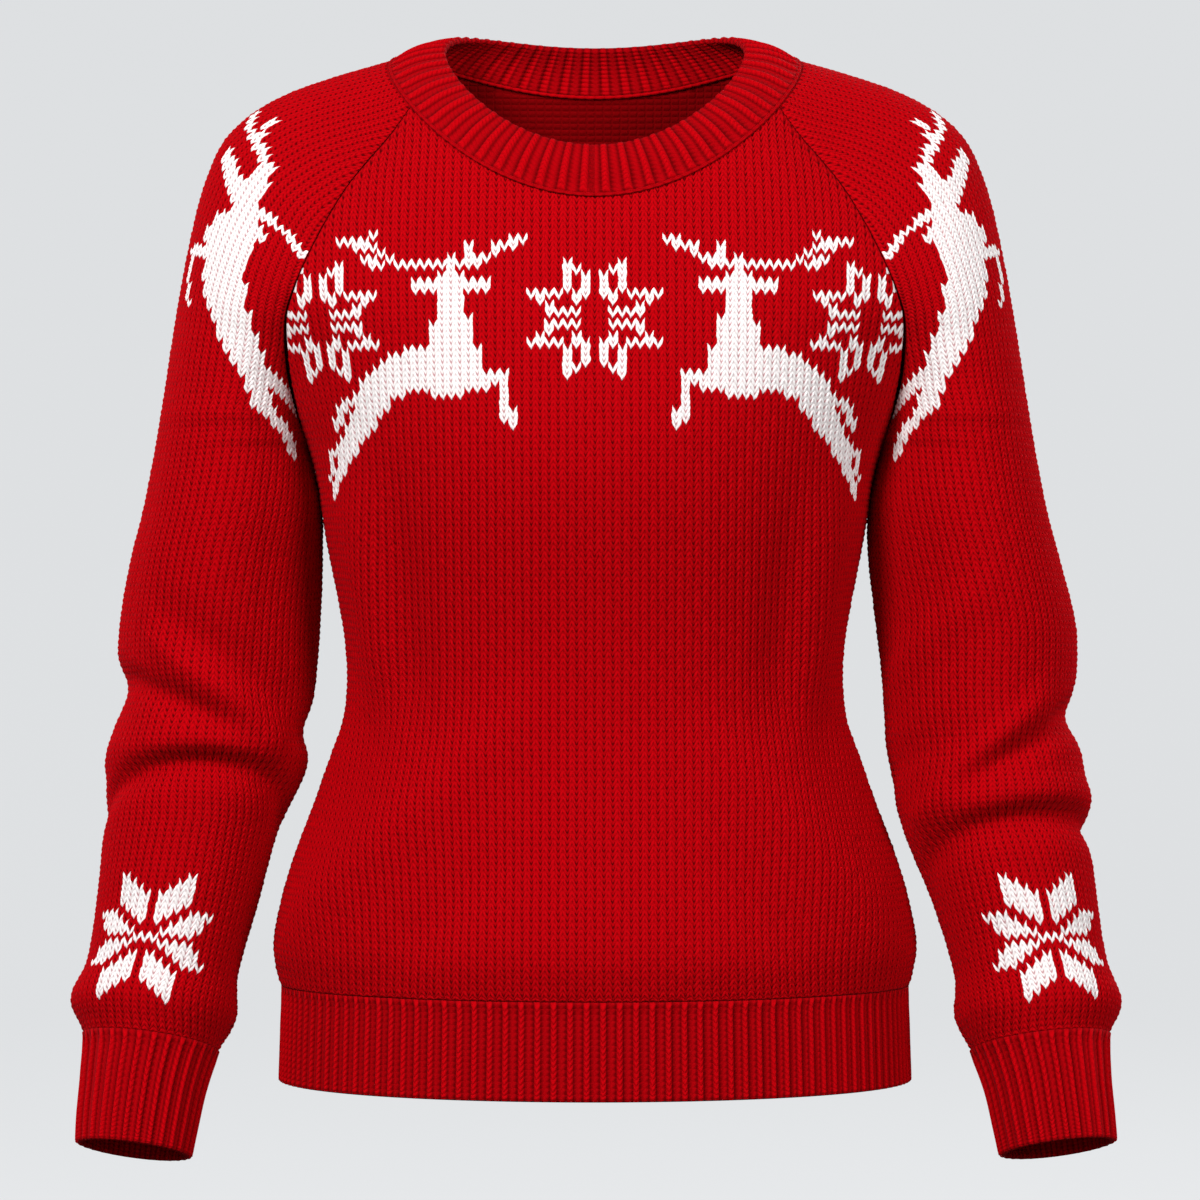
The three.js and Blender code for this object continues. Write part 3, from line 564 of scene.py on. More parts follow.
def sleeve_lattice(at):
    """Sleeve: rows at even lengths along its outer line from the cuff up, columns spaced from that line."""
    fine = np.linspace(0, SLEEVE_END_ROW, 1601)
    line, _ = fit_to_neck(at, fine, np.full_like(fine, 0.5), False)
    travelled = np.concatenate([[0], np.cumsum(np.linalg.norm(np.diff(line, axis=0), axis=-1))])
    length = travelled[-1]
    around_fine = np.linspace(0, 1, 161)
    _, along = lattice_size(1, length)
    row = np.interp(length - np.arange(along) * HALF_COURSE, travelled, fine)

    rows = np.broadcast_to(row[:, None], (along, len(around_fine))).copy()
    sections, _ = fit_to_neck(at, rows, np.broadcast_to(around_fine, rows.shape).copy(), False)
    steps = np.linalg.norm(np.diff(sections, axis=1), axis=-1)
    lengths = np.concatenate([np.zeros((along, 1)), np.cumsum(steps, axis=1)], axis=1)
    lengths -= lengths[:, len(around_fine) // 2][:, None]
    front_line = np.array([np.interp(FRONT_LINE, around_fine, row_lengths) for row_lengths in lengths])
    held = np.interp(-STRAIGHT_ROW, -row, front_line)
    lengths += np.where(row > STRAIGHT_ROW, held - front_line, 0)[:, None]
    across, _ = lattice_size(np.abs(lengths).max(), 1)
    s = (np.arange(across) - across // 2) * WALE / POINTS_PER_WALE
    around = along_section(lengths, around_fine, s)
    rows = np.broadcast_to(row[:, None], around.shape).copy()
    spot, outward = fit_to_neck(at, rows, around)
    front_limit = -lengths[:, 0][:, None]
    back_limit = lengths[:, -1][:, None]
    to_seam = np.where(s < 0, front_limit + s, back_limit - s)
    to_top = np.broadcast_to((length - np.arange(along) * HALF_COURSE)[:, None], around.shape)
    return {"spot": spot, "outward": outward, "to_seam": to_seam, "to_top": to_top,
            "raglan": row < CAP_ROWS}


lattices = {
    "front_panel": panel_lattice("front"),
    "back_panel": panel_lattice("back"),
    "sleeve_left": sleeve_lattice(sleeve_left_at),
    "sleeve_right": sleeve_lattice(sleeve_right_at),
}
for piece_name, piece in lattices.items():
    flat_area = np.count_nonzero((piece["to_seam"] > 0) & (piece["to_top"] > 0)) * WALE * COURSE / 8
    square_metres = flat_area * METRES ** 2
    print(f"{piece_name}: lattice {piece['spot'].shape[:2]}, flat area {square_metres:.3f} square metres")

# %% [markdown]
# ## The charts
#
# A coloured knit is drawn as a chart: one square is one stitch. The stars are small repeats, so they are
# listed as a chart or ruled with two sums. The deer is bigger and freer. It is a handful of tapered limbs in
# millimetres, and a stitch is white when its middle lies inside a limb, which gives the stepped edges of
# real knitting.

# %% Snowflake, star and deer
# One quarter of the snowflake: the first letter of a line is its middle column, the last line its middle row
SNOWFLAKE_QUARTER = [
    "...#....",
    "..##....",
    ".#.#....",
    ".#.#....",
    ".#.#....",
    ".##.####",
    "..#...#.",
    ".....#..",
    "..####..",
    "........",
]
snowflake_chart = np.array([[mark == "#" for mark in line] for line in SNOWFLAKE_QUARTER[::-1]])


def snowflake(column, row):
    """Looks a stitch up in the quarter chart, by how far it is from the middle both ways."""
    c = np.abs(column).astype(int)
    r = np.abs(row).astype(int)
    inside = (c < snowflake_chart.shape[1]) & (r < snowflake_chart.shape[0])
    return inside & snowflake_chart[np.where(inside, r, 0), np.where(inside, c, 0)]


def star(column, row):
    """Eight slanted petals: four upright ones of 4 columns, four level ones of 4 rows, and a middle line."""
    c = np.abs(column)
    r = np.abs(row)
    upright = (c >= 1) & (c <= 4) & (r >= c + 2) & (r <= c + 6)
    level = (r >= 1) & (r <= 4) & (c >= 0.8 * r + 1.2) & (c <= 0.5 * r + 5.4)
    return upright | level | ((r == 0) & (c <= 1))


# Limbs of the deer, in millimetres from its breast, facing +u: start, end, and half thickness at both
DEER_LIMBS = table("from_u from_v to_u to_v thick thin", [
    [-38, -14, -20, -5, 9.5, 12],
    [-20, -5, 4, -3, 12, 17],
    [4, 8, 4, 34, 12, 7.5],
    [4, 34, 4, 50, 7.5, 6.5],
    [4, 49, 22, 45, 5.5, 3.2],
    [2, 47, -16, 46, 4.0, 2.4],
    [4, 52, 4, 64, 3.2, 2.6],
    [0, 60, -26, 61, 2.2, 2.2],
    [-26, 61, -34, 69, 2.2, 2.2],
    [-34, 61, -44, 62, 2.2, 2.0],
    [-34, 69, -54, 75, 2.2, 2.0],
    [-40, 71, -38, 80, 2.2, 2.0],
    [6, 60, 20, 62, 2.2, 2.2],
    [20, 62, 28, 70, 2.2, 2.2],
    [12, 62, 14, 72, 2.2, 2.0],
    [28, 70, 40, 74, 2.2, 2.0],
    [10, -12, 29, -10, 5.5, 3.2],
    [29, -10, 34, -38, 3.2, 2.6],
    [-38, -18, -56, -44, 10, 7],
    [-56, -44, -78, -76, 7, 3.4],
    [-46, -18, -62, -26, 4.0, 2.6],
    [-62, -26, -68, -38, 2.4, 2.4],
    [-62, -48, -76, -52, 2.8, 2.4],
    [-76, -52, -80, -66, 2.4, 2.2],
])
# The deer that leaps up a sleeve, its hind legs trailing down to the underarm
SLEEVE_DEER_LIMBS = table("from_u from_v to_u to_v thick thin", [
    [-4, 6, 5, -30, 21, 15],
    [5, -30, 18, -56, 15, 11.5],
    [18, -56, 30, -78, 11.5, 9],
    [30, -78, 41, -104, 9, 6.5],
    [41, -104, 57, -121, 6, 4.4],
    [57, -121, 74, -143, 4.4, 3.4],
    [32, -76, 62, -98, 5, 3.8],
    [62, -98, 85, -117, 3.8, 3.2],
    [0, 14, -2, 52, 14, 8],
    [-2, 50, -5, 68, 7.5, 5],
    [2, 30, 20, 22, 7, 4.2],
    [-8, 40, -40, 58, 7.5, 4],
    [-5, 66, -19, 74, 3.4, 2.8],
    [-19, 74, -42, 80, 2.8, 2.6],
    [-42, 80, -58, 91, 2.8, 2.6],
    [-30, 77, -36, 94, 2.6, 2.4],
    [0, 40, 20, 36, 3.4, 2.8],
    [20, 36, 34, 35, 2.8, 2.6],
    [34, 35, 46, 26, 2.8, 2.6],
    [-18, -6, -38, -8, 5, 3],
    [-38, -8, -34, -26, 3, 2.6],
    [-34, -26, -26, -44, 2.8, 2.6],
])


def drawn(limbs, u, v):
    """True inside a limb: nearer to its middle line than a thickness that runs evenly from start to end."""
    inside = np.zeros(u.shape, dtype=bool)
    for from_u, from_v, to_u, to_v, thick, thin in zip(*limbs.values()):
        run_u, run_v = to_u - from_u, to_v - from_v
        t = np.clip(((u - from_u) * run_u + (v - from_v) * run_v) / (run_u ** 2 + run_v ** 2), 0, 1)
        away = np.hypot(u - from_u - t * run_u, v - from_v - t * run_v)
        inside |= away < thick + (thin - thick) * t
    return inside


# %% Where the motifs stand
# Middle of each motif in columns from the centre line and rows from the bottom of the piece
FRONT_SNOWFLAKES = [(0, 109), (-32, 109), (32, 109)]
FRONT_DEER = [(-16.8, 102, 1), (16.8, 102, -1)]
BACK_SNOWFLAKES = [(0, 109), (-32, 109), (32, 109)]
BACK_DEER = [(-16.8, 102, 1), (16.8, 102, -1)]
DEER_STRETCH = 1.2
SLEEVE_STAR = (-14, 16)
SLEEVE_DEER = (-12.5, 135.5)
SLEEVE_SNOWFLAKE = (12, 118)


def front_chart(column, row):
    """Two deer that leap towards a snowflake, and a snowflake at each raglan seam."""
    white = np.zeros(column.shape, dtype=bool)
    for c, r in FRONT_SNOWFLAKES:
        white |= snowflake(column - c, row - r)
    for c, r, facing in FRONT_DEER:
        white |= drawn(DEER_LIMBS, (column - c) * WALE * facing / DEER_STRETCH, (row - r) * COURSE)
    return white


def back_chart(column, row):
    """The same group as on the front."""
    white = np.zeros(column.shape, dtype=bool)
    for c, r in BACK_SNOWFLAKES:
        white |= snowflake(column - c, row - r)
    for c, r, facing in BACK_DEER:
        white |= drawn(DEER_LIMBS, (column - c) * WALE * facing / DEER_STRETCH, (row - r) * COURSE)
    return white


def sleeve_chart(column, row):
    """A deer that leaps up the upper arm, a snowflake behind it, and a star on the forearm."""
    white = star(column - SLEEVE_STAR[0], row - SLEEVE_STAR[1])
    white |= snowflake(column - SLEEVE_SNOWFLAKE[0], row - SLEEVE_SNOWFLAKE[1])
    u = (SLEEVE_DEER[0] - column) * WALE
    v = (row - SLEEVE_DEER[1]) * COURSE
    return white | drawn(SLEEVE_DEER_LIMBS, u, v)


# %% [markdown]
# ## From lattice to knitted cloth
#
# Every fourth column of points is the middle of a wale. It is pulled down by a little more than one row, the
# points of the legs by half of that, and the edges of the wale not at all: the straight rows turn into Vs.
# Points halfway along a row are raised, most on the legs. Behind it lies a plain layer, the reverse side,
# and a rim closes the edges, so that the cloth has a thickness wherever it is open.

# %% Raising the stitches
WALE_DROP = np.array([V_DROP, V_DROP / 2, 0, V_DROP / 2])
RIDGE_BY_POINT = np.array([0.3, 0.5, 0.4, 0.5])
BASE_BY_POINT = np.array([-0.9, 0.35, -0.15, 0.35])
UNEVEN_SIDEWAYS = 0.22
UNEVEN_OUTWARD = 0.1
RIB_MEETS = 6.0
RIB_STEP = 0.4
SEAM_GROOVE = 1.1
SEAM_GROOVE_WIDTH = 2.0
SEAM_FLAT = 3.0
FASHION_RISE = 0.5
FASHION_AWAY = 9.0
FASHION_WIDTH = 5.0


def pulled_down(grid, drop):
    """Each point of a lattice moved down its column by its own number of half rows, by straight steps."""
    rows, columns = grid.shape[:2]
    at = np.clip(np.arange(rows)[:, None] - drop, 0, rows - 1)
    low = np.floor(at).astype(int)
    high = np.minimum(low + 1, rows - 1)
    part = (at - low).reshape(at.shape + (1,) * (grid.ndim - 2))
    across = np.broadcast_to(np.arange(columns), at.shape)
    return grid[low, across] * (1 - part) + grid[high, across] * part


def quads_of(number):
    """The four corner numbers of each quad, from the numbers of a grid of points."""
    return np.stack([number[:-1, :-1], number[:-1, 1:], number[1:, 1:], number[1:, :-1]], axis=-1)


def grid_quads(rows, columns, first=0):
    """Corners of the quads of a grid of points, as rows of four numbers."""
    return quads_of(first + np.arange(rows * columns).reshape(rows, columns)).reshape(-1, 4)


def rim_quads(outer, inner, step):
    """Faces between an outer border and an inner one that has every step-th of its points."""
    start = np.arange(len(inner) - 1) * step
    a, b = inner[:-1], inner[1:]
    faces = []
    for k in range(step):
        near = a if k < step // 2 else b
        faces.append(np.stack([outer[start + k], outer[start + k + 1], near, near], axis=-1))
    middle = outer[start + step // 2]
    faces.append(np.stack([middle, b, a, a], axis=-1))
    return np.concatenate(faces)


def cloth_mesh(name, points, faces, corner_uv, stitch, white, smooth_faces):
    """Mesh of quads, facing outward, smooth up to a number of faces and flat on the rims that follow.

    The enclosed volume is the sum of the corners' triple products, and its sign says which way the faces
    turn. Points that fall together are joined; faces without area are dropped.
    """
    corner = points[faces]
    enclosed = (np.cross(corner[:, 1], corner[:, 2]) * corner[:, 0]).sum()
    enclosed += (np.cross(corner[:, 2], corner[:, 3]) * corner[:, 0]).sum()
    if enclosed < 0:
        faces = faces[:, ::-1]
        corner_uv = corner_uv[:, ::-1]
    key = np.round(points * 1e3).astype(np.int64)
    _, first, back = np.unique(key, axis=0, return_index=True, return_inverse=True)
    back = back.reshape(-1)
    faces = back[faces]
    doubled = faces == np.roll(faces, -1, axis=1)
    sides = 4 - doubled.sum(axis=1)
    crossed = (faces[:, 0] == faces[:, 2]) | (faces[:, 1] == faces[:, 3])
    keep = (sides >= 3) & ~crossed
    faces, doubled, sides = faces[keep], doubled[keep], sides[keep]
    corners = faces[~doubled]

    mesh = bpy.data.meshes.new(name)
    mesh.vertices.add(len(first))
    mesh.vertices.foreach_set("co", (points[first] * METRES).astype(np.float32).ravel())
    mesh.loops.add(len(corners))
    mesh.loops.foreach_set("vertex_index", corners.astype(np.int32))
    mesh.polygons.add(len(faces))
    mesh.polygons.foreach_set("loop_start", np.concatenate([[0], np.cumsum(sides)[:-1]]).astype(np.int32))
    mesh.polygons.foreach_set("use_smooth", np.arange(len(keep))[keep] < smooth_faces)
    mesh.update(calc_edges=True)
    uv = mesh.uv_layers.new(name="OFBake")
    uv.uv.foreach_set("vector", corner_uv[keep][~doubled].astype(np.float32).ravel())
    about = mesh.attributes.new("stitch", "FLOAT_VECTOR", "POINT")
    about.data.foreach_set("vector", stitch[first].astype(np.float32).ravel())
    colour = mesh.attributes.new("white", "FLOAT", "FACE")
    colour.data.foreach_set("value", white[keep].astype(np.float32))
    mesh.validate()
    triangles = int((sides - 2).sum())
    print(f"{name}: {triangles} triangles")
    piece = bpy.data.objects.new(name, mesh)
    bpy.context.collection.objects.link(piece)
    return piece


# %% A knitted panel or sleeve
# Places on the texture sheet for the right side, the reverse side and the rims, so that none of them overlap
RIGHT_SIDE_UV = (0.004, 0.004, 0.992, 0.72)
REVERSE_UV = (0.004, 0.73, 0.6, 0.24)
RIM_UV = (0.004, 0.975, 0.992, 0.02)


def in_chart(area, u, v):
    """Shares of a chart's width and height as places on the texture sheet."""
    left, bottom, width, height = area
    return np.stack(np.broadcast_arrays(left + width * u, bottom + height * v), axis=-1)


def uneven(rows, columns, seed):
    """A random number for each stitch, shared by the points of its wale, as no two stitches are alike."""
    chance = np.random.default_rng(seed)
    wales = columns // POINTS_PER_WALE + 2
    by_stitch = chance.normal(size=(rows // 2 + 1, wales))
    wale = (np.arange(columns) + POINTS_PER_WALE // 2) // POINTS_PER_WALE
    return by_stitch[np.arange(rows)[:, None] // 2, wale[None, :]]


def knitted(name, lattice, chart, seed, mirror=False):
    """One piece of stocking stitch with its reverse side, from its lattice and its colour chart."""
    rows, columns = lattice["spot"].shape[:2]
    from_centre = np.arange(columns) - columns // 2
    point_kind = from_centre % POINTS_PER_WALE
    leave_rib = smoothstep(np.arange(rows)[:, None] * HALF_COURSE, 0, RIB_MEETS)
    drop = 2 * WALE_DROP[point_kind] * smoothstep(lattice["to_seam"], 0, WALE) * leave_rib
    spot = pulled_down(lattice["spot"], drop)
    outward = unit(pulled_down(lattice["outward"], drop))
    to_seam = pulled_down(lattice["to_seam"], drop)
    to_top = pulled_down(lattice["to_top"], drop)

    halfway = np.arange(rows) % 2
    ridge = halfway[:, None] * RIDGE_BY_POINT[point_kind][None, :]
    away = np.minimum(np.maximum(to_seam, 0), np.maximum(to_top, 0))
    groove = SEAM_GROOVE * np.exp(-((away / SEAM_GROOVE_WIDTH) ** 2))
    rise = LEG_RISE * ridge + BASE_BY_POINT[point_kind]
    rise = rise * smoothstep(away, 0, SEAM_FLAT) * leave_rib - groove
    rise = rise - RIB_STEP * (1 - leave_rib)
    if name.startswith("sleeve"):
        mark = np.exp(-(((to_seam - FASHION_AWAY) / FASHION_WIDTH) ** 2))
        rise = rise + FASHION_RISE * lattice["raglan"][:, None] * mark
    free = smoothstep(away, 0, WALE)
    rise = rise + UNEVEN_OUTWARD * free * uneven(rows, columns, seed)
    sideways = UNEVEN_SIDEWAYS * free * uneven(rows, columns, seed + 1)
    outer = spot + outward * rise[..., None] + unit(np.gradient(spot, axis=1)) * sideways[..., None]

    back_rows = np.arange(0, rows, INNER_STEP)
    back_columns = np.arange(0, columns, POINTS_PER_WALE)
    picked = np.ix_(back_rows, back_columns)
    inner = lattice["spot"][picked] - lattice["outward"][picked] * SHEET
    points = np.concatenate([outer.reshape(-1, 3), inner.reshape(-1, 3)])

    u = np.broadcast_to(from_centre / POINTS_PER_WALE, (rows, columns))
    v = np.broadcast_to(np.arange(rows)[:, None] / 2, (rows, columns))
    right = np.stack([u, v, np.zeros_like(u)], axis=-1)
    reverse = np.stack([u[picked], v[picked], np.ones_like(u[picked])], axis=-1)
    stitch = np.concatenate([right.reshape(-1, 3), reverse.reshape(-1, 3)])

    outer_faces = grid_quads(rows, columns)
    inner_faces = grid_quads(len(back_rows), len(back_columns), rows * columns)[:, ::-1]
    outer_number = np.arange(rows * columns).reshape(rows, columns)
    inner_number = rows * columns + np.arange(len(back_rows) * len(back_columns))
    inner_number = inner_number.reshape(len(back_rows), len(back_columns))
    rims = np.concatenate([
        rim_quads(outer_number[0, ::-1], inner_number[0, ::-1], POINTS_PER_WALE),
        rim_quads(outer_number[-1], inner_number[-1], POINTS_PER_WALE),
        rim_quads(outer_number[:, 0], inner_number[:, 0], INNER_STEP),
        rim_quads(outer_number[::-1, -1], inner_number[::-1, -1], INNER_STEP),
    ])

    share_u = np.broadcast_to(np.linspace(0, 1, columns), (rows, columns)).ravel()
    share_v = np.broadcast_to(np.linspace(0, 1, rows)[:, None], (rows, columns)).ravel()
    right_uv = in_chart(RIGHT_SIDE_UV, share_u, share_v)
    reverse_uv = in_chart(REVERSE_UV, share_u.reshape(rows, columns)[picked].ravel(),
                          share_v.reshape(rows, columns)[picked].ravel())
    point_uv = np.concatenate([right_uv, reverse_uv])
    along_rim = np.linspace(0, 1, len(rims) + 1)
    rim_u = np.stack([along_rim[:-1], along_rim[1:], along_rim[1:], along_rim[:-1]], axis=-1)
    rim_uv = in_chart(RIM_UV, rim_u, np.array([1, 1, 0, 0]))
    corner_uv = np.concatenate([point_uv[outer_faces], point_uv[inner_faces], rim_uv])

    column = np.floor((from_centre[:-1] + 0.5) / POINTS_PER_WALE + 0.5)
    row = np.arange(rows - 1) // 2
    column, row = np.broadcast_arrays(column[None, :], row[:, None])
    white = chart(column, row)
    quads_white = np.concatenate([white.ravel(), np.zeros(len(inner_faces) + len(rims))])
    faces = np.concatenate([outer_faces, inner_faces, rims])
    if mirror:
        points = points * MIRROR
    return cloth_mesh(name, points, faces, corner_uv, stitch, quads_white, len(faces) - len(rims))


front = knitted("knit_front", lattices["front_panel"], front_chart, 11)
back = knitted("knit_back", lattices["back_panel"], back_chart, 21)
left = knitted("sleeve_knit_left", lattices["sleeve_left"], sleeve_chart, 31, mirror=True)
right = knitted("sleeve_knit_right", lattices["sleeve_right"], sleeve_chart, 41)

# %% [markdown]
# ## Ribbing
#
# A one and one rib has a knit column that stands out and a purl column that sinks back, all the way round the
# neck, the hem and the cuffs. Each band is one strip of cloth: it goes down the outside, turns over
# the edge in a small half circle and comes back up inside, so the open edges are round and soft as on the
# real garment. A flat edge would look like cut felt.

# %% One strip of ribbing
RIB_RISE = 1.7
RIB_PHASES = np.array([0.0, 0.3, 0.39, 0.5, 0.61, 0.7])
RIB_OUTSIDE = np.array([0.4, -0.4, 1.5, 1.8, 1.5, -0.4])
RIB_AT_SEAM = 1.3
RIB_LEAD = 7.0
RIB_INSIDE = np.array([1.3, 1.0, 0.0, 0.0, 0.0, 1.0])
RIB_DROP = np.array([0, 0.1, 0.4, 0.7, 0.4, 0.1])
RIB_RELIEF = np.array([0.1, 0.05, 0.05, 0.1, 0.05, 0.05])
RIB_COLUMNS = len(RIB_PHASES)
BAND_HALF = 1.2


def rib_strip(name, base, ribs, length, closed, mirror=False):
    """Ribbing over a base surface of (share along the band, share across), round its edge and back inside."""
    outside_rows = 2 * math.ceil(length / COURSE)
    turn = np.array([0.25, 0.5, 0.75]) * math.pi
    inside_rows = math.ceil(length / COURSE)
    along = np.concatenate([
        np.linspace(0, 1, outside_rows + 1),
        1 + np.sin(turn) * BAND_HALF / length,
        np.linspace(1, 0, inside_rows + 1),
    ])
    depth = np.concatenate([
        np.zeros(outside_rows + 1),
        (1 - np.cos(turn)) * BAND_HALF,
        np.full(inside_rows + 1, 2 * BAND_HALF),
    ])
    outer_part = np.clip(1 - depth / BAND_HALF, -1, 1)
    across = (np.arange(ribs)[:, None] + RIB_PHASES[None, :]).ravel() / ribs
    kind = np.tile(np.arange(RIB_COLUMNS), ribs)
    if not closed:
        across = np.append(across, 1.0)
        kind = np.append(kind, 0)

    raw = np.arange(len(along)) < outside_rows
    ridge = (np.arange(len(along)) % 2) * raw
    spot, outward = base(along[:, None], across[None, :])
    lead = smoothstep(along * length, 0, RIB_LEAD)[:, None]
    outside = RIB_OUTSIDE[kind] * lead + RIB_AT_SEAM * (1 - lead)
    rise = np.where(outer_part[:, None] > 0, outer_part[:, None] * outside,
                    outer_part[:, None] * RIB_INSIDE[kind])
    rise = rise + ridge[:, None] * RIB_RELIEF[kind] - depth[:, None]
    points = spot + outward * rise[..., None]
    shifted = pulled_down(points, -2 * RIB_DROP[kind])
    keep_end = np.clip((outside_rows - np.arange(len(along))) / 4, 0, 1)[:, None, None]
    points = points + (shifted - points) * keep_end * (np.arange(len(along)) > 0)[:, None, None]

    rows, columns = points.shape[:2]
    number = np.arange(rows * columns).reshape(rows, columns)
    if closed:
        number = np.concatenate([number, number[:, :1]], axis=1)
    number = np.concatenate([number, number[:1]], axis=0)
    quads = quads_of(number)
    wide = quads.shape[1]
    share_u = np.arange(wide + 1) / wide
    share_v = np.arange(rows + 1) / rows
    uv = in_chart((0.004, 0.004, 0.992, 0.97), *np.meshgrid(share_u, share_v))
    corner_uv = np.stack([uv[:-1, :-1], uv[:-1, 1:], uv[1:, 1:], uv[1:, :-1]], axis=-2)
    faces = quads.reshape(-1, 4)
    corner_uv = corner_uv.reshape(-1, 4, 2)
    if not closed:
        ends = [number[:-1, 0], number[:-1, -1][::-1]]
        caps = []
        for end in ends:
            half = (rows - 1) // 2
            near = np.arange(half)
            far = rows - 1 - near
            caps.append(np.stack([end[near], end[near + 1], end[far - 1], end[far]], axis=-1))
        caps = np.concatenate(caps)
        faces = np.concatenate([faces, caps])
        cap_u = np.arange(len(caps)) / len(caps)
        cap_uv = in_chart((0.004, 0.98, 0.992, 0.016),
                          np.stack([cap_u, cap_u + 1 / len(caps)] * 2, axis=-1)[:, [0, 1, 1, 0]],
                          np.array([0, 0, 1, 1]))
        corner_uv = np.concatenate([corner_uv, cap_uv])
    rib_u = (np.floor(across * ribs + 0.001) + RIB_PHASES[kind])
    stitch_v = np.where(raw, np.arange(rows) / 2, outside_rows / 2 + (np.arange(rows) - outside_rows))
    stitch = vectors(rib_u[None, :], stitch_v[:, None], np.full((rows, columns), 2.0)).reshape(-1, 3)
    points = points.reshape(-1, 3)
    if mirror:
        points = points * MIRROR
    smooth_faces = (rows - 1) * wide
    return cloth_mesh(name, points, faces, corner_uv, stitch, np.zeros(len(faces)), smooth_faces)


# %% Hem, cuffs and neckband
HEM_RIBS = 62
CUFF_RIBS = 29
NECK_RIBS = 58
NECK_CROWN = 2.5
CUFF_LENGTH = 64
NECK_LENGTH = 38


def hem_base(side):
    """Half an ellipse at each height below the panel: turn runs evenly from seam to seam."""
    def base(down, across):
        z = RIB_TOP_LEVEL + SEAM_GAP / 2 + (HEM_LEVEL - RIB_TOP_LEVEL - SEAM_GAP / 2) * down
        turn = (across * 2 - 1) * math.pi / 2
        width = torso_at["width"](z) - RIB_RISE
        depth = torso_at[side](z) - RIB_RISE
        x = width * np.sin(turn)
        y = TOWARD[side] * (depth * np.cos(turn) + SEAM_GAP / 2)
        outward = unit(vectors(x / width ** 2, y / depth ** 2, np.zeros_like(z * turn)))
        return vectors(x, y, z), outward
    return base


def cuff_base(at):
    """The last rows of the sleeve's own form, as a closed ring."""
    def base(down, across):
        row = SLEEVE_END_ROW + (CUFF_END_ROW - SLEEVE_END_ROW) * np.minimum(down, 1.0)
        spot, outward = at(row, across)
        past = np.maximum(down - 1, 0)
        end, _ = at(np.full_like(row, CUFF_END_ROW), across)
        before, _ = at(np.full_like(row, CUFF_END_ROW - 0.5), across)
        return spot + (end - before) * (past * 6)[..., None], outward
    return base


def neck_base(up, across):
    """Straight from the neck seam to the band's upper edge, with a low crown between them."""
    turn = across * 2 * math.pi
    seam = neck_place(NECK_SEAM, turn)
    rise = neck_place(NECK_EDGE, turn) - seam
    outward = neck_outward(turn) + np.zeros_like(up)[..., None]
    crown = NECK_CROWN * np.sin(np.clip(up, 0, 1) * math.pi)
    start = SEAM_GAP / np.linalg.norm(rise, axis=-1)
    share = start + (1 - start) * up
    return seam + rise * share[..., None] + outward * crown[..., None], outward


hem_front = rib_strip("hem_rib_knit_front", hem_base("front"), HEM_RIBS, RIB_TOP_LEVEL - HEM_LEVEL, False)
hem_back = rib_strip("hem_rib_knit_back", hem_base("back"), HEM_RIBS, RIB_TOP_LEVEL - HEM_LEVEL, False)
cuff_left = rib_strip("cuff_knit_left", cuff_base(sleeve_left_at), CUFF_RIBS, CUFF_LENGTH, True, mirror=True)
cuff_right = rib_strip("cuff_knit_right", cuff_base(sleeve_right_at), CUFF_RIBS, CUFF_LENGTH, True)
neckband = rib_strip("neckband_knit", neck_base, NECK_RIBS, NECK_LENGTH, True)

# %% [markdown]
# ## The linked seam at the neck
#
# A neckband is joined to the body by a chain of loops, which shows as a thin raised line on both sides. It is
# a round profile carried along the neck seam, and the profile swells and shrinks once for every loop.

# %% Chain along the neck seam
CHAIN_LOOPS = 132
CHAIN_RADIUS = 1.25
CHAIN_SWELL = 0.35
CHAIN_STEPS = 6
CHAIN_SIDES = 8
CHAIN_OUT = 0.5
CHAIN_IN = -3.0


def chain_seam(name, offset):
    """Tube along the neck seam, moved outward by offset; its radius follows the size of a sine along it."""
    turn = np.arange(CHAIN_LOOPS * CHAIN_STEPS) / (CHAIN_LOOPS * CHAIN_STEPS) * 2 * math.pi
    seam = neck_place(NECK_SEAM, turn)
    outward = neck_outward(turn)
    ahead = unit(np.roll(seam, -1, axis=0) - np.roll(seam, 1, axis=0))
    side = unit(np.cross(ahead, outward))
    wave = np.abs(np.sin(turn * CHAIN_LOOPS / 2))
    radius = CHAIN_RADIUS + CHAIN_SWELL * (wave - 0.5)
    angle = np.arange(CHAIN_SIDES) / CHAIN_SIDES * 2 * math.pi
    ring = outward[:, None, :] * np.cos(angle)[:, None] + side[:, None, :] * np.sin(angle)[:, None]
    points = (seam + outward * offset)[:, None, :] + ring * radius[:, None, None]
    rows, columns = points.shape[:2]
    number = np.arange(rows * columns).reshape(rows, columns)
    number = np.concatenate([number, number[:, :1]], axis=1)
    number = np.concatenate([number, number[:1]], axis=0)
    faces = quads_of(number).reshape(-1, 4)
    uv = in_chart((0.004, 0.004, 0.992, 0.992), *np.meshgrid(np.arange(columns + 1) / columns,
                                                             np.arange(rows + 1) / rows))
    corner_uv = np.stack([uv[:-1, :-1], uv[:-1, 1:], uv[1:, 1:], uv[1:, :-1]], axis=-2).reshape(-1, 4, 2)
    stitch_u = np.broadcast_to(np.arange(columns) / columns, (rows, columns))
    stitch_v = np.broadcast_to(turn[:, None] / math.pi / 2 * CHAIN_LOOPS, (rows, columns))
    stitch = vectors(stitch_u, stitch_v, np.full((rows, columns), 3.0)).reshape(-1, 3)
    return cloth_mesh(name, points.reshape(-1, 3), faces, corner_uv, stitch, np.zeros(len(faces)), len(faces))


chain_outside = chain_seam("neck_chain_outside", CHAIN_OUT)
chain_inside = chain_seam("neck_chain_inside", CHAIN_IN)
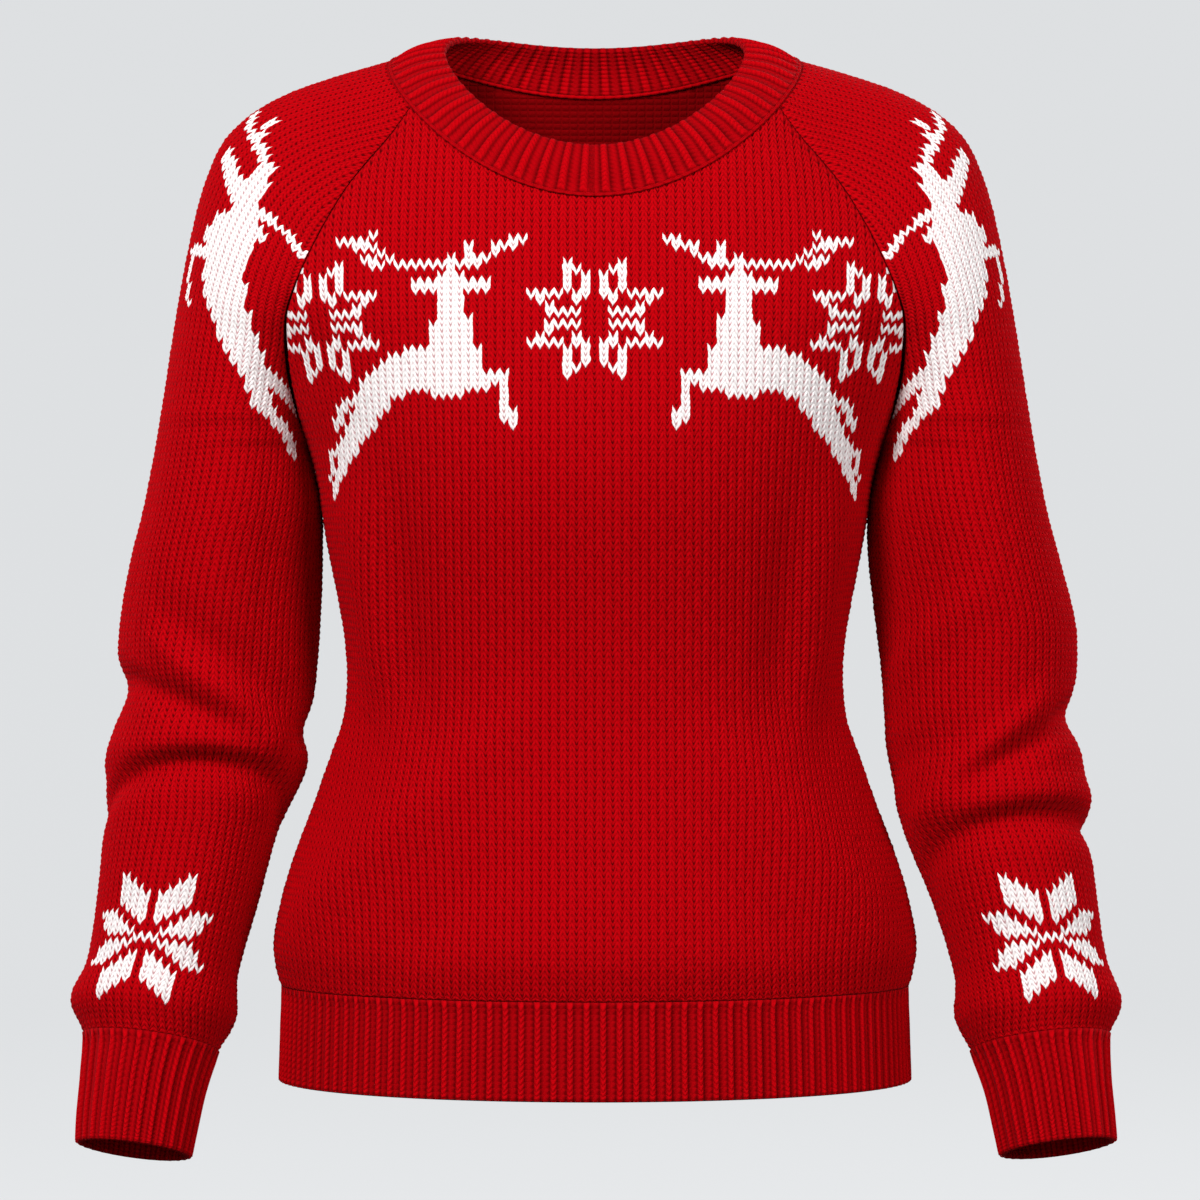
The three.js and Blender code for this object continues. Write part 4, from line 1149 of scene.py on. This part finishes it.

# %% [markdown]
# ## The yarn
#
# The yarn is a soft, slightly hairy wool. Three things make it look like that: painted shade in the grooves
# where two threads meet, fine fibres that run along each leg of a V, and a soft light on edges that turn
# away, called sheen. The reverse side is painted a deeper red, a painted shade for the hollow it lies in. The
# groove shade and the fibres are used by every piece, so they are a node group that reads the stitch lattice;
# the shader itself stays in the material.

# %% Node helpers


def add_node(tree, kind, place, **values):
    """A node of a kind at a place on the node sheet, with settings or input values by name."""
    node = tree.nodes.new(kind)
    node.location = place
    for name, value in values.items():
        if hasattr(node, name):
            setattr(node, name, value)
        else:
            node.inputs[name.replace("_", " ")].default_value = value
    return node


def maths(tree, operation, first, second, place):
    """A Math node; its two inputs are sockets or numbers."""
    node = add_node(tree, "ShaderNodeMath", place, operation=operation)
    for socket, value in zip(node.inputs, (first, second)):
        if isinstance(value, (int, float)):
            socket.default_value = value
        elif value is not None:
            tree.links.new(value, socket)
    return node.outputs[0]


def ramp(tree, value, start, full, place):
    """0 up to start, 1 from full, smooth between them."""
    node = add_node(tree, "ShaderNodeMapRange", place, interpolation_type="SMOOTHSTEP")
    node.inputs["From Min"].default_value = start
    node.inputs["From Max"].default_value = full
    tree.links.new(value, node.inputs["Value"])
    return node.outputs["Result"]


def weighted(tree, value, by, plus, place):
    """A number times one weight, plus another."""
    node = add_node(tree, "ShaderNodeMath", place, operation="MULTIPLY_ADD")
    node.inputs[1].default_value = by
    node.inputs[2].default_value = plus
    tree.links.new(value, node.inputs[0])
    return node.outputs[0]


def noise(tree, vector, scale, detail, place):
    """A Noise Texture on a vector, as one number."""
    node = add_node(tree, "ShaderNodeTexNoise", place)
    node.inputs["Scale"].default_value = scale
    node.inputs["Detail"].default_value = detail
    tree.links.new(vector, node.inputs["Vector"])
    return node.outputs["Fac"]


# %% Node group: threads of the knitting and the painted shade of its grooves
EYE_HALF_WIDTH = 0.26
RIB_SLANT = 2.0
RIDGE_EDGE = 0.33


def knitting_group():
    """Painted shade in the grooves: 1 in the eye of each V and between ribs. Thread: its round section.
    Fibre: streaks along it.

    Side: 0 on the right side, 1 on the reverse, more on ribs. Each mark is a smooth ramp of how far a place
    is from the middle of its row or of its wale, and the marks are weighted and added.
    """
    tree = bpy.data.node_groups.new("knitting", "ShaderNodeTree")
    tree.interface.new_socket("Stitch", in_out="INPUT", socket_type="NodeSocketVector")
    tree.interface.new_socket("Place", in_out="INPUT", socket_type="NodeSocketVector")
    for name in ("GrooveShade", "Thread", "Fibre", "Side"):
        tree.interface.new_socket(name, in_out="OUTPUT", socket_type="NodeSocketFloat")
    given = tree.nodes.new("NodeGroupInput")
    given.location = (-1000, 0)
    out = tree.nodes.new("NodeGroupOutput")
    out.location = (600, 0)
    parts = add_node(tree, "ShaderNodeSeparateXYZ", (-800, 100))
    tree.links.new(given.outputs["Stitch"], parts.inputs[0])
    share = maths(tree, "FRACT", parts.outputs["Y"], None, (-600, 200))
    off_middle = maths(tree, "ABSOLUTE", maths(tree, "SUBTRACT", share, 0.5, (-450, 200)), None, (-300, 200))
    seam_line = ramp(tree, off_middle, 0.14, 0.44, (-150, 200))
    across = maths(tree, "FRACT", maths(tree, "ADD", parts.outputs["X"], 0.5, (-600, 500)), None, (-450, 500))
    off_wale = maths(tree, "ABSOLUTE", maths(tree, "SUBTRACT", across, 0.5, (-300, 500)), None, (-150, 500))
    in_eye = ramp(tree, off_wale, EYE_HALF_WIDTH, 0.1, (0, 500))
    at_edge = ramp(tree, off_wale, 0.36, 0.5, (0, 600))
    # Painted shade: a dark dot in the eye of each V, a fainter line at the edge of each wale and a faint line
    # along each row.
    eye_shade = maths(tree, "MULTIPLY", in_eye, weighted(tree, seam_line, 0.72, 0.16, (0, 400)), (150, 500))
    between = maths(tree, "MULTIPLY", at_edge, weighted(tree, seam_line, 0.3, 0.14, (0, 300)), (150, 600))
    knit_groove_shade = maths(tree, "ADD", maths(tree, "MAXIMUM", eye_shade, between, (300, 500)),
                        maths(tree, "MULTIPLY", seam_line, 0.12, (150, 300)), (450, 500))
    # Painted shade on ribs: darker in each valley, darkest at its middle, with faint slanted strokes across
    # it.
    in_valley = ramp(tree, off_wale, RIDGE_EDGE + 0.06, RIDGE_EDGE - 0.05, (0, 700))
    crease = ramp(tree, off_wale, 0.08, 0.27, (0, 850))
    valley_shade_tone = weighted(tree, crease, 0.45, 0.28, (150, 850))
    rib_groove_shade = maths(tree, "MULTIPLY", in_valley, valley_shade_tone, (300, 700))
    slanted = maths(tree, "MULTIPLY_ADD", parts.outputs["X"], RIB_SLANT, (-450, 850))
    tree.links.new(parts.outputs["Y"], slanted.node.inputs[2])
    stroke = maths(tree, "FRACT", slanted, None, (-300, 850))
    stroke_line = ramp(tree, maths(tree, "ABSOLUTE", maths(tree, "SUBTRACT", stroke, 0.5, (-200, 950)), None,
                                   (-100, 950)), 0.2, 0.5, (0, 950))
    stroke_shade = maths(tree, "MULTIPLY", stroke_line, 0.16, (150, 950))
    rib_shade_lines = maths(tree, "ADD", rib_groove_shade, stroke_shade, (450, 700))
    is_rib = maths(tree, "GREATER_THAN", parts.outputs["Z"], 1.5, (-600, 700))
    # Painted shade: the knit marks below side 1.5, the rib marks above it.
    choose = add_node(tree, "ShaderNodeMix", (450, 400), data_type="FLOAT")
    tree.links.new(is_rib, choose.inputs["Factor"])
    tree.links.new(knit_groove_shade, choose.inputs["A"])
    tree.links.new(rib_shade_lines, choose.inputs["B"])
    groove = choose.outputs["Result"]
    round_row = maths(tree, "COSINE", maths(tree, "MULTIPLY", off_middle, math.pi, (-150, 0)), None, (0, 0))
    on_leg = ramp(tree, off_wale, 0.0, 0.2, (0, 150))
    round_thread = maths(tree, "MULTIPLY", round_row, on_leg, (150, 50))
    stretch = add_node(tree, "ShaderNodeVectorMath", (-600, -100), operation="MULTIPLY")
    stretch.inputs[1].default_value = (3.0, 14.0, 1.0)
    tree.links.new(given.outputs["Stitch"], stretch.inputs[0])
    fibre = noise(tree, stretch.outputs[0], 1.0, 3.0, (-400, -100))
    fuzz = noise(tree, given.outputs["Place"], 1400.0, 3.0, (-400, -300))
    both = maths(tree, "ADD", maths(tree, "MULTIPLY", fibre, 0.5, (-200, -200)),
                 maths(tree, "MULTIPLY", fuzz, 0.5, (-200, -350)), (0, -250))
    tree.links.new(groove, out.inputs["GrooveShade"])
    tree.links.new(round_thread, out.inputs["Thread"])
    tree.links.new(both, out.inputs["Fibre"])
    tree.links.new(parts.outputs["Z"], out.inputs["Side"])
    return tree


knitting = knitting_group()


def srgb(r, g, b):
    """A colour in screen numbers, 0 to 255, as the linear numbers that shaders use."""
    share = np.array([r, g, b]) / 255
    linear = np.where(share <= 0.04045, share / 12.92, ((share + 0.055) / 1.055) ** 2.4)
    return (*linear.tolist(), 1.0)


RED_YARN = srgb(184, 0, 9)
# Painted shade: this deep red, and the greyish pink two lines down, are mixed into the yarn where the grooves
# lie.
RED_GROOVE_SHADE = srgb(88, 0, 3)
WHITE_YARN = srgb(250, 246, 245)
WHITE_GROOVE_SHADE = srgb(186, 140, 142)
RIB_YARN = srgb(184, 0, 9)
# Painted shade: one darker red for the whole reverse side, for the hollow it lies in.
REVERSE_SHADE_RED = srgb(128, 0, 4)
FIBRE_CONTRAST = 0.3
FIBRE_BASE = 0.86
THREAD_HEIGHT = 0.0008
HAIR_HEIGHT = 0.0005
HAIR_STRENGTH = 0.55


def mixed(tree, factor, first, second, place):
    """A Mix node for colours; each colour is a socket or four numbers."""
    node = add_node(tree, "ShaderNodeMix", place, data_type="RGBA")
    tree.links.new(factor, node.inputs["Factor"])
    for socket, value in zip((node.inputs[6], node.inputs[7]), (first, second)):
        if isinstance(value, tuple):
            socket.default_value = value
        else:
            tree.links.new(value, socket)
    return node.outputs[2]


def yarn_material(name, red, groove_bump):
    """Wool in red, and in white where the chart says so: colour, painted shade in the grooves and fibres by
    the knitting group.
    """
    material = bpy.data.materials.new(name)
    material.use_nodes = True
    tree = material.node_tree
    shader = tree.nodes["Principled BSDF"]
    stitch = add_node(tree, "ShaderNodeAttribute", (-1200, 100), attribute_name="stitch")
    white = add_node(tree, "ShaderNodeAttribute", (-1200, -200), attribute_name="white")
    place = add_node(tree, "ShaderNodeTexCoord", (-1200, -400))
    group = add_node(tree, "ShaderNodeGroup", (-950, 0), node_tree=knitting)
    tree.links.new(stitch.outputs["Vector"], group.inputs["Stitch"])
    tree.links.new(place.outputs["Object"], group.inputs["Place"])
    # Painted shade: the groove mask mixes the deep colours into the red and the white.
    red_with_groove_shade = mixed(tree, group.outputs["GrooveShade"], red, RED_GROOVE_SHADE, (-650, 200))
    white_with_groove_shade = mixed(tree, group.outputs["GrooveShade"], WHITE_YARN, WHITE_GROOVE_SHADE, (-650, 0))
    colour = mixed(tree, white.outputs["Fac"], red_with_groove_shade, white_with_groove_shade, (-450, 100))
    tone = add_node(tree, "ShaderNodeHueSaturation", (-250, 100))
    streaks = maths(tree, "MULTIPLY", group.outputs["Fibre"], FIBRE_CONTRAST, (-650, -200))
    value = maths(tree, "ADD", streaks, FIBRE_BASE, (-450, -200))
    tree.links.new(value, tone.inputs["Value"])
    tree.links.new(colour, tone.inputs["Color"])
    # Painted shade: the reverse side takes that flat darker red in place of the yarn's colour.
    is_reverse = maths(tree, "COMPARE", group.outputs["Side"], 1.0, (-250, 300))
    is_reverse.node.inputs[2].default_value = 0.4
    shaded = mixed(tree, is_reverse, tone.outputs[0], REVERSE_SHADE_RED, (-50, 200))
    tree.links.new(shaded, shader.inputs["Base Color"])
    thread = add_node(tree, "ShaderNodeBump", (-250, -300))
    thread.inputs["Strength"].default_value = groove_bump
    thread.inputs["Distance"].default_value = THREAD_HEIGHT
    tree.links.new(group.outputs["Thread"], thread.inputs["Height"])
    hairs = add_node(tree, "ShaderNodeBump", (-50, -300))
    hairs.inputs["Strength"].default_value = HAIR_STRENGTH
    hairs.inputs["Distance"].default_value = HAIR_HEIGHT
    tree.links.new(group.outputs["Fibre"], hairs.inputs["Height"])
    tree.links.new(thread.outputs[0], hairs.inputs["Normal"])
    tree.links.new(hairs.outputs[0], shader.inputs["Normal"])
    shader.inputs["Roughness"].default_value = 0.88
    shader.inputs["Specular IOR Level"].default_value = 0.03
    shader.inputs["Sheen Weight"].default_value = 0.05
    shader.inputs["Sheen Roughness"].default_value = 0.4
    shader.inputs["Sheen Tint"].default_value = (1.0, 0.12, 0.16, 1.0)
    return material


knit_yarn = yarn_material("red_and_white_wool", RED_YARN, 0.6)
rib_yarn = yarn_material("red_rib_wool", RIB_YARN, 0.6)

# %% [markdown]
# ## Tying the pieces to the frame
#
# Each knitted piece stands for the solid wall of the same cut, takes a yarn material and rides on the body.
# Its flat cut, width by length in metres, stands in the tables below.

# %% Ride and replace
KNIT_PIECES = [
    (front, "front_panel", (0.53, 0.55), 0.21),
    (back, "back_panel", (0.53, 0.59), 0.22),
    (left, "sleeve_left", (0.40, 0.63), 0.19),
    (right, "sleeve_right", (0.40, 0.63), 0.19),
]
RIB_PIECES = [
    (hem_front, "hem_rib_front", (0.506, 0.058), None),
    (hem_back, "hem_rib_back", (0.495, 0.058), None),
    (cuff_left, "cuff_left", (0.243, 0.066), None),
    (cuff_right, "cuff_right", (0.243, 0.066), None),
    (neckband, "neckband", (0.62, 0.038), None),
]
for piece, node, flat, area in KNIT_PIECES + RIB_PIECES:
    material, slot_name = (knit_yarn, "red_knit") if area else (rib_yarn, "red_rib")
    piece.data.materials.append(material)
    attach(piece, "root")
    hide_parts(node)
for chain in (chain_outside, chain_inside):
    chain.data.materials.append(rib_yarn)
    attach(chain, "root")

# %% [markdown]
# ## Floor, light and camera
#
# The sweater hangs in a plain pale room. A shallow bowl is both floor and wall, so no edge shows from any
# side. A soft lamp high on the left of the front gives the form, and a weaker one on the right leaves the
# middle of the body darker than its flanks, as in the photograph. A low one opens the shade under the folds,
# two at the sides behind draw light edges, one lights the back, and a pale sky fills the rest.

# %% Pale bowl
FLOOR_LEVEL = -1.0
FLOOR_RADIUS = 4.2
BEND_RADIUS = 2.0
WALL_TOP = 3.0
WALL_GLOW = 0.73


def bowl():
    """A flat floor, a quarter circle and a wall, turned round the vertical axis."""
    flat = np.linspace(0.05, FLOOR_RADIUS, 12)
    bend = np.linspace(0, math.pi / 2, 16)[1:]
    radius = np.concatenate([flat, FLOOR_RADIUS + BEND_RADIUS * np.sin(bend), [FLOOR_RADIUS + BEND_RADIUS]])
    height = np.concatenate([flat * 0, BEND_RADIUS * (1 - np.cos(bend)), [WALL_TOP]]) + FLOOR_LEVEL
    turn = np.arange(64) / 64 * 2 * math.pi
    points = vectors(radius[:, None] * np.cos(turn), radius[:, None] * np.sin(turn), height[:, None])
    number = np.arange(points.shape[0] * 64).reshape(points.shape[0], 64)
    number = np.concatenate([number, number[:, :1]], axis=1)
    faces = quads_of(number).reshape(-1, 4)
    mesh = bpy.data.meshes.new("pale_floor")
    mesh.from_pydata(points.reshape(-1, 3).tolist(), [], faces.tolist() + [number[0, :-1].tolist()[::-1]])
    mesh.polygons.foreach_set("use_smooth", np.ones(len(mesh.polygons), dtype=bool))
    floor = bpy.data.objects.new("pale_floor", mesh)
    bpy.context.collection.objects.link(floor)
    paint = bpy.data.materials.new("pale_paint")
    paint.use_nodes = True
    shader = paint.node_tree.nodes["Principled BSDF"]
    shader.inputs["Base Color"].default_value = (0.1, 0.1, 0.1, 1)
    shader.inputs["Roughness"].default_value = 0.9
    shader.inputs["Specular IOR Level"].default_value = 0.1
    shader.inputs["Emission Color"].default_value = (0.96, 0.98, 1.0, 1)
    seen = add_node(paint.node_tree, "ShaderNodeLightPath", (-400, 0))
    glow = maths(paint.node_tree, "MULTIPLY", seen.outputs["Is Camera Ray"], WALL_GLOW, (-200, 0))
    paint.node_tree.links.new(glow, shader.inputs["Emission Strength"])
    mesh.materials.append(paint)
    return floor


bowl()

# %% Lamps and sky


def area_lamp(name, place, size, watts):
    """A square soft lamp that shines at the middle of the sweater."""
    lamp = bpy.data.lights.new(name, "AREA")
    lamp.size = size
    lamp.energy = watts
    holder = bpy.data.objects.new(name, lamp)
    holder.location = place
    bpy.context.collection.objects.link(holder)
    away = np.array(place) - LAMP_TARGET
    pitch = math.acos(away[2] / np.linalg.norm(away))
    holder.rotation_euler = (pitch, 0, math.atan2(away[1], away[0]) + math.pi / 2)


LAMP_TARGET = np.array([0, 0, -0.33])
LAMPS = [
    ("key", (-1.4, -2.1, 1.1), 0.9, 76),
    ("fill", (1.8, -2.0, 0.5), 1.1, 42),
    ("low", (-0.3, -2.7, -0.8), 1.6, 9),
    ("rim_left", (-2.4, 1.2, 0.5), 1.0, 26),
    ("rim_right", (2.4, 1.2, 0.6), 1.0, 22),
    ("back_key", (1.6, 2.3, 1.6), 1.4, 40),
]
for lamp_name, place, size, watts in LAMPS:
    area_lamp(lamp_name, place, size, watts)
SKY_STRENGTH = 0.25
world = bpy.data.worlds.new("pale_sky")
world.use_nodes = True
world.node_tree.nodes["Background"].inputs["Color"].default_value = (0.93, 0.96, 1.0, 1)
world.node_tree.nodes["Background"].inputs["Strength"].default_value = SKY_STRENGTH
bpy.context.scene.world = world
bpy.context.scene.view_settings.view_transform = "Standard"

# %% Camera at the photograph's angle
CAMERA_DISTANCE = 2.6
CAMERA_ASIDE = 0.0031
CAMERA_LEVEL = -0.3348
MM_PER_PIXEL = 0.62
PHOTO_PIXELS = 1200
camera_data = bpy.data.cameras.new("photo_camera")
camera_data.sensor_width = 36
frame_width = PHOTO_PIXELS * MM_PER_PIXEL * METRES
camera_data.lens = camera_data.sensor_width * CAMERA_DISTANCE / frame_width
camera = bpy.data.objects.new("photo_camera", camera_data)
camera.location = (CAMERA_ASIDE, -CAMERA_DISTANCE, CAMERA_LEVEL)
camera.rotation_euler = (math.pi / 2, 0, 0)
bpy.context.collection.objects.link(camera)
bpy.context.scene.camera = camera
print(f"lens {camera_data.lens:.1f} mm")

# %% Update the view layer, and the end
bpy.context.view_layer.update()
